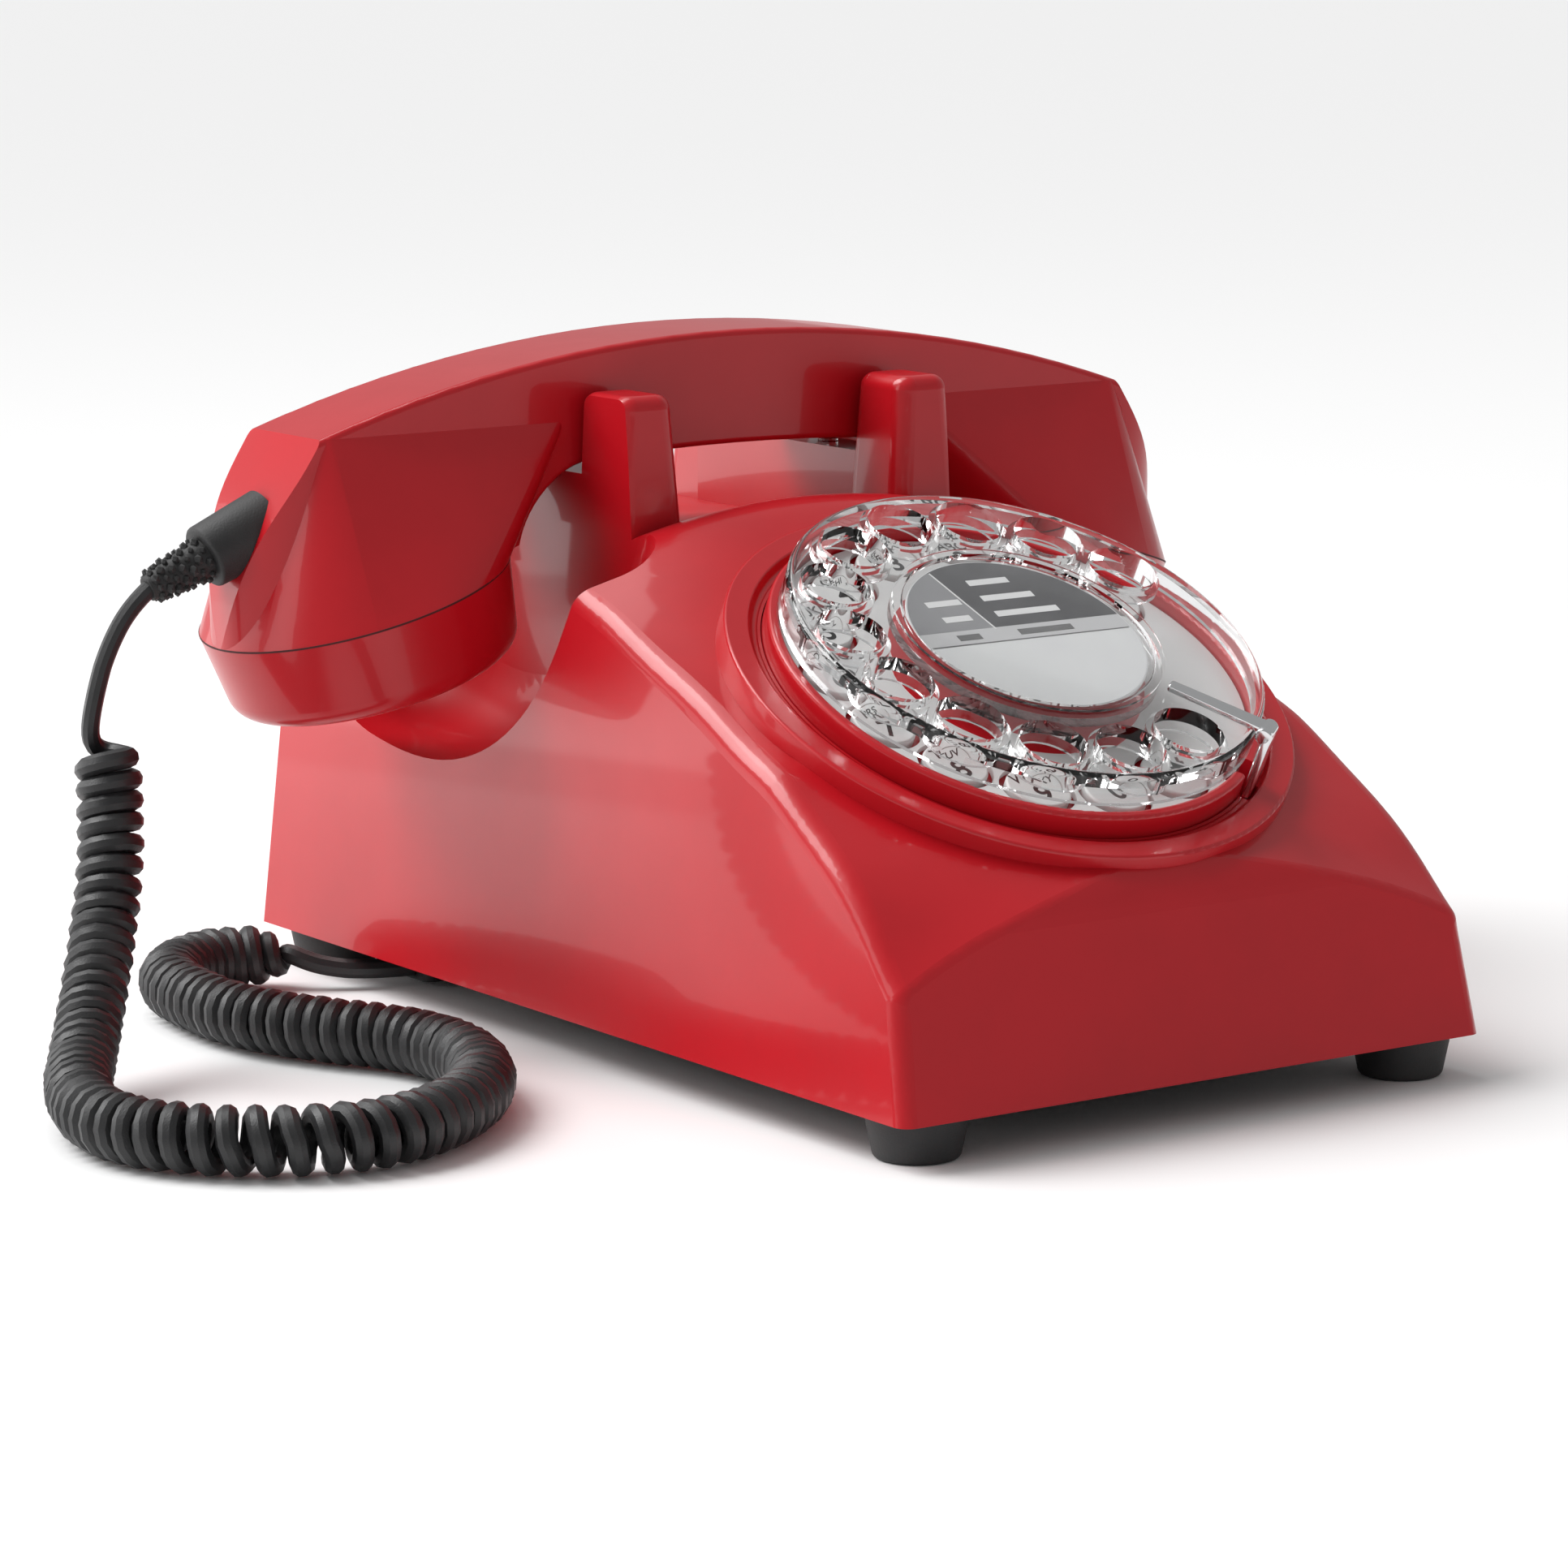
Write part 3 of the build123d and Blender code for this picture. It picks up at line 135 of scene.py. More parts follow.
def build_handling_group() -> bpy.types.ShaderNodeTree:
    """Build the slight change of tone and gloss that handling leaves on a surface.

    Returns:
        A group that gives a colour and a roughness.
    """
    tree = new_group("handling_marks")
    group_socket(tree, "Vector", "INPUT", "Vector")
    group_socket(tree, "Color", "INPUT", "Color", (0.5, 0.5, 0.5, 1.0))
    group_socket(tree, "Worn Color", "INPUT", "Color", (0.5, 0.5, 0.5, 1.0))
    group_socket(tree, "Roughness", "INPUT", "Float", 0.3)
    group_socket(tree, "Roughness Spread", "INPUT", "Float", 0.05)
    group_socket(tree, "Color", "OUTPUT", "Color")
    group_socket(tree, "Roughness", "OUTPUT", "Float")
    nodes, links = tree.nodes, tree.links
    given, result = nodes.new("NodeGroupInput"), nodes.new("NodeGroupOutput")
    clouds = nodes.new("ShaderNodeTexNoise")
    clouds.inputs["Scale"].default_value = 34.0
    clouds.inputs["Detail"].default_value = 5.0
    clouds.inputs["Roughness"].default_value = 0.62
    contrast = nodes.new("ShaderNodeMapRange")
    contrast.inputs["From Min"].default_value = 0.38
    contrast.inputs["From Max"].default_value = 0.68
    tone = nodes.new("ShaderNodeMix")
    tone.data_type = "RGBA"
    gloss = nodes.new("ShaderNodeMath")
    gloss.operation = "MULTIPLY_ADD"
    links.new(given.outputs["Vector"], clouds.inputs["Vector"])
    links.new(clouds.outputs["Fac"], contrast.inputs["Value"])
    links.new(contrast.outputs["Result"], tone.inputs["Factor"])
    links.new(given.outputs["Color"], tone.inputs["A"])
    links.new(given.outputs["Worn Color"], tone.inputs["B"])
    links.new(contrast.outputs["Result"], gloss.inputs[0])
    links.new(given.outputs["Roughness Spread"], gloss.inputs[1])
    links.new(given.outputs["Roughness"], gloss.inputs[2])
    links.new(tone.outputs["Result"], result.inputs["Color"])
    links.new(gloss.outputs["Value"], result.inputs["Roughness"])
    return tree


@dataclass
class ShaderKit:
    """The two shared shader groups."""

    grain: bpy.types.ShaderNodeTree = field(default_factory=build_grain_group)
    handling: bpy.types.ShaderNodeTree = field(default_factory=build_handling_group)


# ---------------------------------------------------------------- finishes
Colour = tuple[float, float, float]


@dataclass(frozen=True)
class Finish:
    """A surface finish: its colours, its gloss and its grain."""

    name: str
    colour: Colour
    worn: Colour
    roughness: float = 0.3
    spread: float = 0.05
    metallic: float = 0.0
    coat: float = 0.0
    coat_roughness: float = 0.05
    specular: float = 0.5
    grain_scale: float = 900.0
    grain_depth: float = 0.05
    wave: float = 0.0
    transmission: float = 0.0
    ior: float = 1.49

    def material(self, kit: ShaderKit) -> bpy.types.Material:
        """Build the material, or find it if it is already there.

        Args:
            kit: The shared shader groups.

        Returns:
            The material.
        """
        own_name = f"{self.name}_finish"
        found = bpy.data.materials.get(own_name)
        if found:
            return found
        made = bpy.data.materials.new(own_name)
        made.use_nodes = True
        nodes, links = made.node_tree.nodes, made.node_tree.links
        shader = nodes["Principled BSDF"]
        place = nodes.new("ShaderNodeTexCoord").outputs["Object"]
        handling, grain = nodes.new("ShaderNodeGroup"), nodes.new("ShaderNodeGroup")
        handling.node_tree, grain.node_tree = kit.handling, kit.grain
        handling.inputs["Color"].default_value = (*self.colour, 1.0)
        handling.inputs["Worn Color"].default_value = (*self.worn, 1.0)
        handling.inputs["Roughness"].default_value = self.roughness
        handling.inputs["Roughness Spread"].default_value = self.spread
        grain.inputs["Scale"].default_value = self.grain_scale
        grain.inputs["Depth"].default_value = self.grain_depth
        grain.inputs["Wave"].default_value = self.wave
        for group in (handling, grain):
            links.new(place, group.inputs["Vector"])
        links.new(handling.outputs["Color"], shader.inputs["Base Color"])
        links.new(handling.outputs["Roughness"], shader.inputs["Roughness"])
        links.new(grain.outputs["Normal"], shader.inputs["Normal"])
        shader.inputs["Metallic"].default_value = self.metallic
        shader.inputs["Coat Weight"].default_value = self.coat
        shader.inputs["Coat Roughness"].default_value = self.coat_roughness
        shader.inputs["Specular IOR Level"].default_value = self.specular
        shader.inputs["Transmission Weight"].default_value = self.transmission
        shader.inputs["IOR"].default_value = self.ior
        made.diffuse_color = (*self.colour, 1.0)
        if self.transmission:
            self.let_light_through(made, shader)
        return made

    def let_light_through(self, made: bpy.types.Material, shader: bpy.types.Node) -> None:
        """Let lamps reach what lies behind a clear piece.

        Args:
            made: The material.
            shader: Its Principled node.
        """
        nodes, links = made.node_tree.nodes, made.node_tree.links
        passing, rays = nodes.new("ShaderNodeBsdfTransparent"), nodes.new("ShaderNodeLightPath")
        passing.inputs["Color"].default_value = (0.93, 0.93, 0.93, 1.0)
        either = nodes.new("ShaderNodeMath")
        either.operation = "MAXIMUM"
        links.new(rays.outputs["Is Shadow Ray"], either.inputs[0])
        links.new(rays.outputs["Is Diffuse Ray"], either.inputs[1])
        blend = nodes.new("ShaderNodeMixShader")
        links.new(either.outputs["Value"], blend.inputs["Fac"])
        links.new(shader.outputs["BSDF"], blend.inputs[1])
        links.new(passing.outputs["BSDF"], blend.inputs[2])
        links.new(blend.outputs["Shader"], nodes["Material Output"].inputs["Surface"])


RED_SHELL = Finish("red_moulding", (0.50, 0.006, 0.013), (0.46, 0.005, 0.011), roughness=0.30, spread=0.03,
                   coat=0.35, coat_roughness=0.05, specular=0.30, grain_scale=2200.0, grain_depth=0.01, wave=0.012)
# Painted shade: a darker copy of the red moulding, laid as a thin ring where the gap between cap and body lies in
# shadow.
SEAM_PAINTED_SHADE = Finish("seam_shadow", (0.07, 0.002, 0.003), (0.05, 0.002, 0.003), roughness=0.7)
BLACK_PLASTIC = Finish("black_moulding", (0.016, 0.016, 0.017), (0.03, 0.03, 0.03), roughness=0.45,
                       grain_scale=1500.0, grain_depth=0.2)
BLACK_RUBBER = Finish("black_rubber", (0.014, 0.014, 0.015), (0.035, 0.034, 0.033), roughness=0.55, spread=0.15,
                      grain_scale=2600.0, grain_depth=0.35)
CORD_RUBBER = Finish("cord_rubber", (0.012, 0.012, 0.013), (0.028, 0.028, 0.029), roughness=0.38, spread=0.14,
                     grain_scale=3200.0, grain_depth=0.3)
PALE_PLATE = Finish("pale_plate", (0.72, 0.72, 0.715), (0.66, 0.66, 0.655), roughness=0.42,
                    grain_scale=1800.0, grain_depth=0.08)
GREY_DISC = Finish("grey_disc", (0.68, 0.68, 0.67), (0.61, 0.61, 0.61), roughness=0.45,
                   grain_scale=1800.0, grain_depth=0.08)
CLEAR_PLASTIC = Finish("clear_plastic", (0.985, 0.99, 0.99), (0.97, 0.975, 0.98), roughness=0.02, spread=0.02,
                       transmission=1.0, grain_depth=0.0, wave=0.01)
CHROME = Finish("bright_chrome", (0.78, 0.79, 0.80), (0.70, 0.71, 0.72), roughness=0.10, spread=0.08, metallic=1.0,
                grain_depth=0.02)
ZINC = Finish("zinc_steel", (0.50, 0.50, 0.49), (0.38, 0.38, 0.37), roughness=0.35, spread=0.15, metallic=1.0,
              grain_depth=0.1)
BRASS = Finish("turned_brass", (0.70, 0.50, 0.20), (0.52, 0.36, 0.15), roughness=0.28, spread=0.15, metallic=1.0,
               grain_depth=0.06)
COIL_TAPE = Finish("coil_tape", (0.32, 0.06, 0.02), (0.22, 0.04, 0.015), roughness=0.4, grain_scale=1200.0,
                   grain_depth=0.3)
BOARD = Finish("board_lacquer", (0.02, 0.13, 0.05), (0.03, 0.16, 0.06), roughness=0.3, grain_depth=0.1)
PART_GREY = Finish("part_grey", (0.17, 0.17, 0.18), (0.22, 0.22, 0.22), roughness=0.5, grain_depth=0.15)
INK = Finish("black_ink", (0.01, 0.01, 0.01), (0.02, 0.02, 0.02), roughness=0.5)
LABEL_DARK = Finish("label_dark", (0.055, 0.055, 0.06), (0.13, 0.13, 0.135), roughness=0.35)
LABEL_MID = Finish("label_mid", (0.27, 0.27, 0.28), (0.33, 0.33, 0.34), roughness=0.35)
LABEL_STRIP = Finish("label_strip", (0.60, 0.60, 0.61), (0.63, 0.63, 0.63), roughness=0.4)
LABEL_PALE = Finish("label_pale", (0.80, 0.81, 0.81), (0.75, 0.75, 0.76), roughness=0.4)
LABEL_WHITE = Finish("label_white", (0.85, 0.85, 0.85), (0.8, 0.8, 0.8), roughness=0.4)
LABEL_GREY_INK = Finish("label_grey_ink", (0.12, 0.12, 0.12), (0.16, 0.16, 0.16), roughness=0.5)


# ---------------------------------------------------------------- mesh helpers
@dataclass
class Workshop:
    """Turns finished meshes into pieces, and dresses the carried-over parts."""

    kit: ShaderKit = field(default_factory=ShaderKit)
    sharp_angle: float = math.radians(32)

    def piece(self, name: str, bm: bmesh.types.BMesh, finish: Finish, body: Body | None, slot: str,
              replaced: tuple[str, ...] = (), smooth: bool = True) -> bpy.types.Object:
        """Make a piece from a bmesh, dress it and let it ride.

        Args:
            name: The piece's name.
            bm: The finished mesh, which is freed.
            finish: Its finish.
            body: The body it moves with, or None to leave it unattached.
            slot: The record's material slot; not used.
            replaced: The parts it stands for.
            smooth: Whether its curved faces are shaded smooth.

        Returns:
            The new object.
        """
        mesh = bpy.data.meshes.new(name)
        bm.to_mesh(mesh)
        bm.free()
        mesh.materials.append(finish.material(self.kit))
        made = bpy.data.objects.new(name, mesh)
        bpy.context.scene.collection.objects.link(made)
        if smooth:
            mesh.shade_smooth()
            mesh.set_sharp_from_angle(angle=self.sharp_angle)
        if body:
            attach(made, body.value)
        if replaced:
            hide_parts(*replaced)
        LOG.info("%s: %d faces", name, len(mesh.polygons))
        return made

    def dress(self, finish: Finish, *nodes: str) -> None:
        """Give carried-over parts a finish.

        Args:
            finish: The finish.
            nodes: The parts' names.
        """
        for node in nodes:
            part = frame["nodes"][node]
            part.data.materials.clear()
            part.data.materials.append(finish.material(self.kit))
            LOG.info("%s: dressed in %s", node, finish.name)


def swept_tube(points: list[Vector], radii: list[float], sides: int) -> bmesh.types.BMesh:
    """Make a closed round tube along a line.

    Args:
        points: The centreline.
        radii: The tube's radius at each point.
        sides: The number of faces round it.

    Returns:
        The tube as a bmesh.
    """
    bm = bmesh.new()
    count = len(points)
    tangents = [(points[min(i + 1, count - 1)] - points[max(i - 1, 0)]).normalized() for i in range(count)]
    across = tangents[0].orthogonal().normalized()
    loops = []
    for point, tangent, radius in zip(points, tangents, radii):
        across = (across - tangent * across.dot(tangent)).normalized()
        other = tangent.cross(across)
        ring = bmesh.ops.create_circle(bm, segments=sides, radius=radius)["verts"]
        turn = Matrix((across, other, tangent)).transposed().to_4x4()
        bmesh.ops.transform(bm, matrix=Matrix.Translation(point) @ turn, verts=ring)
        edges = {edge for vert in ring for edge in vert.link_edges}
        loops.append((ring, list(edges)))
    for (_, first), (_, second) in zip(loops, loops[1:]):
        bmesh.ops.bridge_loops(bm, edges=first + second)
    for ring, _ in (loops[0], loops[-1]):
        bmesh.ops.contextual_create(bm, geom=ring)
    bmesh.ops.recalc_face_normals(bm, faces=bm.faces)
    return bm


def route_line(points: list[tuple[float, float, float]], resolution: int) -> list[Vector]:
    """Read a smooth line off a NURBS route.

    Args:
        points: The route's control points, in metres.
        resolution: Steps for each span.

    Returns:
        Points along the line.
    """
    curve = bpy.data.curves.new("route", "CURVE")
    curve.dimensions = "3D"
    curve.resolution_u = resolution
    spline = curve.splines.new("NURBS")
    spline.points.add(len(points) - 1)
    for control, point in zip(spline.points, points):
        control.co = (*point, 1.0)
    spline.order_u = 3
    spline.use_endpoint_u = True
    holder = bpy.data.objects.new("route", curve)
    bpy.context.scene.collection.objects.link(holder)
    mesh = bpy.data.meshes.new_from_object(holder)
    line = [vertex.co.copy() for vertex in mesh.vertices]
    bpy.data.objects.remove(holder)
    bpy.data.curves.remove(curve)
    bpy.data.meshes.remove(mesh)
    return line


def even_steps(line: list[Vector], count: int) -> list[Vector]:
    """Space points evenly along a line.

    Args:
        line: The line's points.
        count: How many steps to divide it into.

    Returns:
        Evenly spaced points, both ends included.
    """
    reached = [0.0]
    for a, b in zip(line, line[1:]):
        reached.append(reached[-1] + (b - a).length)
    spaced, index = [], 0
    for step in range(count + 1):
        target = reached[-1] * step / count
        while index < len(line) - 2 and reached[index + 1] < target:
            index += 1
        span = reached[index + 1] - reached[index]
        spaced.append(line[index].lerp(line[index + 1], (target - reached[index]) / span if span else 0.0))
    return spaced


def relax(line: list[Vector], middle: int, reach: int, rounds: int = 14) -> None:
    """Ease a corner of a line by moving its points towards their neighbours.

    Args:
        line: The line, which is changed.
        middle: The index of the corner.
        reach: How many points on each side may move.
        rounds: How often it is eased.
    """
    low, high = max(1, middle - reach), min(len(line) - 1, middle + reach)
    for _ in range(rounds):
        line[low:high] = [(line[i - 1] + line[i] * 2 + line[i + 1]) / 4 for i in range(low, high)]


def line_length(line: list[Vector]) -> float:
    """Measure a line, in metres."""
    return sum((b - a).length for a, b in zip(line, line[1:]))


# ---------------------------------------------------------------- cord
LEAD_ROUTE = [
    (-0.12253, 0.04662, 0.08740), (-0.1264, 0.0470, 0.0843), (-0.1306, 0.0477, 0.0773), (-0.1336, 0.0484, 0.0685),
    (-0.1350, 0.0488, 0.0597),
]
COIL_ROUTE = [
    (-0.1312, 0.0485, 0.0586), (-0.1320, 0.0450, 0.0420), (-0.1395, 0.0365, 0.0240), (-0.1520, 0.0200, 0.0095),
    (-0.1660, -0.0030, 0.0066), (-0.1705, -0.0270, 0.0064), (-0.1575, -0.0465, 0.0064), (-0.1340, -0.0565, 0.0064),
    (-0.1090, -0.0440, 0.0064), (-0.0925, -0.0200, 0.0064), (-0.0915, 0.0040, 0.0064), (-0.1020, 0.0220, 0.0064),
    (-0.1095, 0.0420, 0.0064), (-0.1080, 0.0640, 0.0064), (-0.1055, 0.0750, 0.0064), (-0.0990, 0.0845, 0.0064),
    (-0.0900, 0.0900, 0.0064), (-0.0805, 0.0890, 0.0064), (-0.0740, 0.0830, 0.0064),
]
BASE_ROUTE = [
    (-0.0737, 0.0827, 0.0058), (-0.0686, 0.0784, 0.0044), (-0.0615, 0.0744, 0.0037), (-0.0526, 0.0724, 0.0037),
]


@dataclass
class CurlyCord:
    """The handset cord: a lead, a helix and a second lead, all one wire."""

    shop: Workshop
    wire_radius: float = 1.98 * MM
    lead_radius: float = 1.7 * MM
    coil_radius: float = 6.25 * MM
    pitch: float = 3.86 * MM
    steps_per_turn: int = 14
    sides: int = 10
    loose_stretch: float = 0.34

    def turn_positions(self, length: float) -> list[float]:
        """Place the turns along the coil, closer in some stretches and stretched in others.

        Args:
            length: The coil's length in metres.

        Returns:
            The share of the length at each step of the helix.
        """
        shares, travelled = [0.0], 0.0
        while travelled < length:
            share = travelled / length
            loosened = math.exp(-((share - 0.405) / 0.055) ** 2)
            uneven = 0.03 * math.sin(37 * share) + 0.025 * math.sin(91 * share + 1.3)
            travelled += self.pitch * (1 + self.loose_stretch * loosened + uneven) / self.steps_per_turn
            shares.append(min(travelled / length, 1.0))
        return shares

    def helix(self, axis: list[Vector]) -> list[Vector]:
        """Wind the wire round the coil's axis.

        Args:
            axis: The coil's axis.

        Returns:
            The wire's centreline.
        """
        fine = even_steps(axis, 1200)
        across = Vector((-1, 0, 0))
        frames = []
        for before, after in zip([fine[0], *fine], [*fine[1:], fine[-1]]):
            tangent = (after - before).normalized()
            across = (across - tangent * across.dot(tangent)).normalized()
            frames.append((across.copy(), tangent.cross(across)))
        winding = self.coil_radius - self.wire_radius
        shares = self.turn_positions(line_length(axis))
        ease = 2 * self.steps_per_turn
        wire = []
        for step, share in enumerate(shares):
            index = min(int(share * 1200), 1200)
            first, second = frames[min(index, len(frames) - 1)]
            angle = 2 * math.pi * step / self.steps_per_turn
            tail = min(1.0, (len(shares) - 1 - step) / ease)
            radius = winding * (0.25 + 0.75 * tail) * (1 + 0.012 * math.sin(0.61 * step))
            wire.append(fine[index] + first * radius * math.cos(angle) + second * radius * math.sin(angle))
        return wire

    def build(self) -> bpy.types.Object:
        """Returns:
            The cord.
        """
        lead = route_line(LEAD_ROUTE, 8)
        coil = self.helix(route_line(COIL_ROUTE, 12))
        tail = route_line(BASE_ROUTE, 8)
        wire = [*lead[:-2], *coil, *tail[2:]]
        for join in (len(lead) - 2, len(lead) - 2 + len(coil)):
            relax(wire, join, 9)
        radii = [self.lead_radius] * (len(lead) - 2) + [self.wire_radius] * (len(wire) - len(lead) + 2)
        smooth_in = len(lead) - 2
        for step in range(6):
            blend = step / 6
            radii[smooth_in + step] = self.lead_radius + (self.wire_radius - self.lead_radius) * blend
        bm = swept_tube(wire, radii, self.sides)
        cord = self.shop.piece("curly_cord", bm, CORD_RUBBER, None, "cord_black",
                               ("handset_lead", "hanging_coil", "base_lead"))
        cord["wire_length_m"] = line_length(wire)
        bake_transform(cord)
        LOG.info("cord: %.2f m of wire", line_length(wire))
        return cord


@dataclass
class CordBoot:
    """The rubber boot at the handset's end: a square-ended collar and a knobbly relief."""

    shop: Workshop
    root: Vector = field(default_factory=lambda: Vector((-0.1032, 0.0462, 0.0956)))
    direction: Vector = field(default_factory=lambda: Vector((-0.92, 0.02, -0.39)).normalized())
    collar_radius: float = 6.6 * MM
    collar_start: float = -5.6 * MM
    collar_end: float = 8.8 * MM
    relief_end: float = 20.9 * MM
    relief_radius: float = 3.9 * MM
    rows: int = 7
    knobs_per_row: int = 9

    def place(self) -> Matrix:
        """Give the boot's own frame, z along it."""
        turn = self.direction.to_track_quat("Z", "Y").to_matrix().to_4x4()
        return Matrix.Translation(self.root) @ turn

    def add_collar(self, bm: bmesh.types.BMesh) -> None:
        """Add the round collar, which starts inside the handset's wall.

        Args:
            bm: The mesh it is added to.
        """
        depth = self.collar_end - self.collar_start
        made = bmesh.ops.create_cone(bm, cap_ends=True, segments=48, radius1=self.collar_radius,
                                     radius2=0.92 * self.collar_radius, depth=depth)["verts"]
        bmesh.ops.translate(bm, vec=(0, 0, (self.collar_start + self.collar_end) / 2), verts=made)
        rim = [edge for edge in bm.edges if all(vert.co.z > self.collar_end - 0.1 * MM for vert in edge.verts)]
        bmesh.ops.bevel(bm, geom=rim, offset=0.7 * MM, segments=3, affect="EDGES", profile=0.5, material=-1)

    def add_relief(self, bm: bmesh.types.BMesh) -> None:
        """Add the tapered core and its rows of rough knobs.

        Args:
            bm: The mesh it is added to.
        """
        length = self.relief_end - self.collar_end + 1 * MM
        core = bmesh.ops.create_cone(bm, cap_ends=True, segments=20, radius1=self.relief_radius, radius2=2.4 * MM,
                                     depth=length)
        middle = (self.collar_end + self.relief_end) / 2
        bmesh.ops.translate(bm, vec=(0, 0, middle), verts=core["verts"])
        for row in range(self.rows):
            share = (row + 0.5) / self.rows
            height = self.collar_end + share * (self.relief_end - self.collar_end)
            radius = self.relief_radius - 1.3 * MM * share
            for knob in range(self.knobs_per_row):
                turn = 2 * math.pi * (knob + 0.5 * (row % 2)) / self.knobs_per_row
                wobble = 1 + 0.22 * math.sin(7.1 * row + 3.7 * knob)
                spot = Vector((math.cos(turn), math.sin(turn), 0)) * radius * (1 + 0.06 * math.sin(5 * knob + row))
                made = bmesh.ops.create_icosphere(bm, subdivisions=1, radius=1.0 * MM * wobble)["verts"]
                bmesh.ops.scale(bm, vec=(1, 1, 0.72), verts=made)
                bmesh.ops.translate(bm, vec=spot + Vector((0, 0, height)), verts=made)

    def build(self) -> bpy.types.Object:
        """Build the boot.

        Returns:
            The boot, which rides on the handset.
        """
        bm = bmesh.new()
        self.add_collar(bm)
        self.add_relief(bm)
        bmesh.ops.transform(bm, matrix=self.place(), verts=bm.verts)
        return self.shop.piece("cord_boot_relief", bm, BLACK_RUBBER, Body.HANDSET, "black_rubber", ("cord_boot",))


# ---------------------------------------------------------------- dial
@dataclass
class Dial:
    """The dial: cup, plate, printed discs, clear wheel, label and finger stop."""

    shop: Workshop
    hole_count: int = 12
    first_hole: float = 26.0
    hole_pitch: float = 24.2
    hole_ring_inset: float = 9.0 * MM
    disc_top: float = -9.5 * MM
    plate_top: float = -10.2 * MM
    red_floor_radius: float = 24.0 * MM
    card_top: float = -1.1 * MM
    label_radius: float = 22.4 * MM
    cover_radius: float = 23.9 * MM
    stop_angle: float = 306.5
    print_thickness: float = 0.04 * MM
    digits: tuple[str, ...] = ("*", "1", "2", "3", "4", "5", "6", "7", "8", "9", "0", "#")
    letters: tuple[str, ...] = ("", "", "ABC", "DEF", "GHI", "JKL", "MNO", "PRS", "TUV", "WXY", "", "")

    def place(self) -> Matrix:
        """Give the dial's own frame, from its turning joint: y up the slope, z out of the face."""
        joint = next(j for j in frame["record"]["behaviour"]["joints"] if j["name"] == "dial_turn")
        out = Vector(joint["axis"]).normalized()
        across = Vector((1, 0, 0))
        turn = Matrix((across, out.cross(across), out)).transposed().to_4x4()
        return Matrix.Translation(Vector(joint["pos_m"])) @ turn

    def wheel_radius(self) -> float:
        """Give the finger wheel's radius, from its box."""
        low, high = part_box("finger_wheel")
        return (high[0] - low[0]) / 2

    def hole_spot(self, index: int) -> Vector:
        """Give the centre of a finger hole in the dial's frame."""
        angle = math.radians(self.first_hole + self.hole_pitch * index)
        return Vector((math.cos(angle), math.sin(angle), 0)) * (self.wheel_radius() - self.hole_ring_inset)

    def add_text(self, bm: bmesh.types.BMesh, words: str, height: float, centre: Vector, bold: float = 0.0) -> None:
        """Add flat lettering to a mesh, in the dial's frame.

        Args:
            bm: The mesh.
            words: What is written.
            height: The letters' size.
            centre: The middle of the words.
            bold: How far the strokes are thickened.
        """
        curve = bpy.data.curves.new("lettering", "FONT")
        curve.body = words
        curve.size = height * 1.4
        curve.align_x, curve.align_y = "CENTER", "CENTER"
        curve.extrude = self.print_thickness / 2
        curve.offset = bold
        holder = bpy.data.objects.new("lettering", curve)
        bpy.context.scene.collection.objects.link(holder)
        mesh = bpy.data.meshes.new_from_object(holder)
        mesh.transform(Matrix.Translation(centre))
        bm.from_mesh(mesh)
        bpy.data.objects.remove(holder)
        bpy.data.curves.remove(curve)
        bpy.data.meshes.remove(mesh)

    def build_red_floor(self) -> bpy.types.Object:
        """Build the red inner part of the dial's floor, inside the ring of numbers.

        Returns:
            The red ring.
        """
        bm = bmesh.new()
        bmesh.ops.create_circle(bm, segments=96, radius=self.red_floor_radius)
        outer = list(bm.edges)
        bmesh.ops.create_circle(bm, segments=96, radius=8 * MM)
        bmesh.ops.bridge_loops(bm, edges=[*outer, *[edge for edge in bm.edges if edge not in outer]])
        grown = bmesh.ops.extrude_face_region(bm, geom=list(bm.faces))
        raised = [item for item in grown["geom"] if isinstance(item, bmesh.types.BMVert)]
        bmesh.ops.translate(bm, vec=(0, 0, 2 * self.print_thickness), verts=raised)
        bmesh.ops.recalc_face_normals(bm, faces=bm.faces)
        bmesh.ops.translate(bm, vec=(0, 0, self.plate_top), verts=bm.verts)
        bmesh.ops.transform(bm, matrix=self.place(), verts=bm.verts)
        return self.shop.piece("dial_red_floor", bm, RED_SHELL, Body.ROOT, "red_shell", smooth=False)

    def build_digits(self) -> bpy.types.Object:
        """Print the digits and letter groups on the discs.

        Returns:
            The printing, one piece.
        """
        bm = bmesh.new()
        level = Vector((0, 0, self.disc_top + self.print_thickness / 2))
        for index, (digit, group) in enumerate(zip(self.digits, self.letters)):
            spot = self.hole_spot(index) + level
            down = 1.9 * MM if group else 0.0
            self.add_text(bm, digit, 4.6 * MM, spot - Vector((0, down, 0)), 0.1 * MM)
            if group:
                self.add_text(bm, group, 2.5 * MM, spot + Vector((0, 2.9 * MM, 0)), 0.04 * MM)
        bmesh.ops.transform(bm, matrix=self.place(), verts=bm.verts)
        return self.shop.piece("dial_digits", bm, INK, Body.ROOT, "grey_disc", smooth=False)

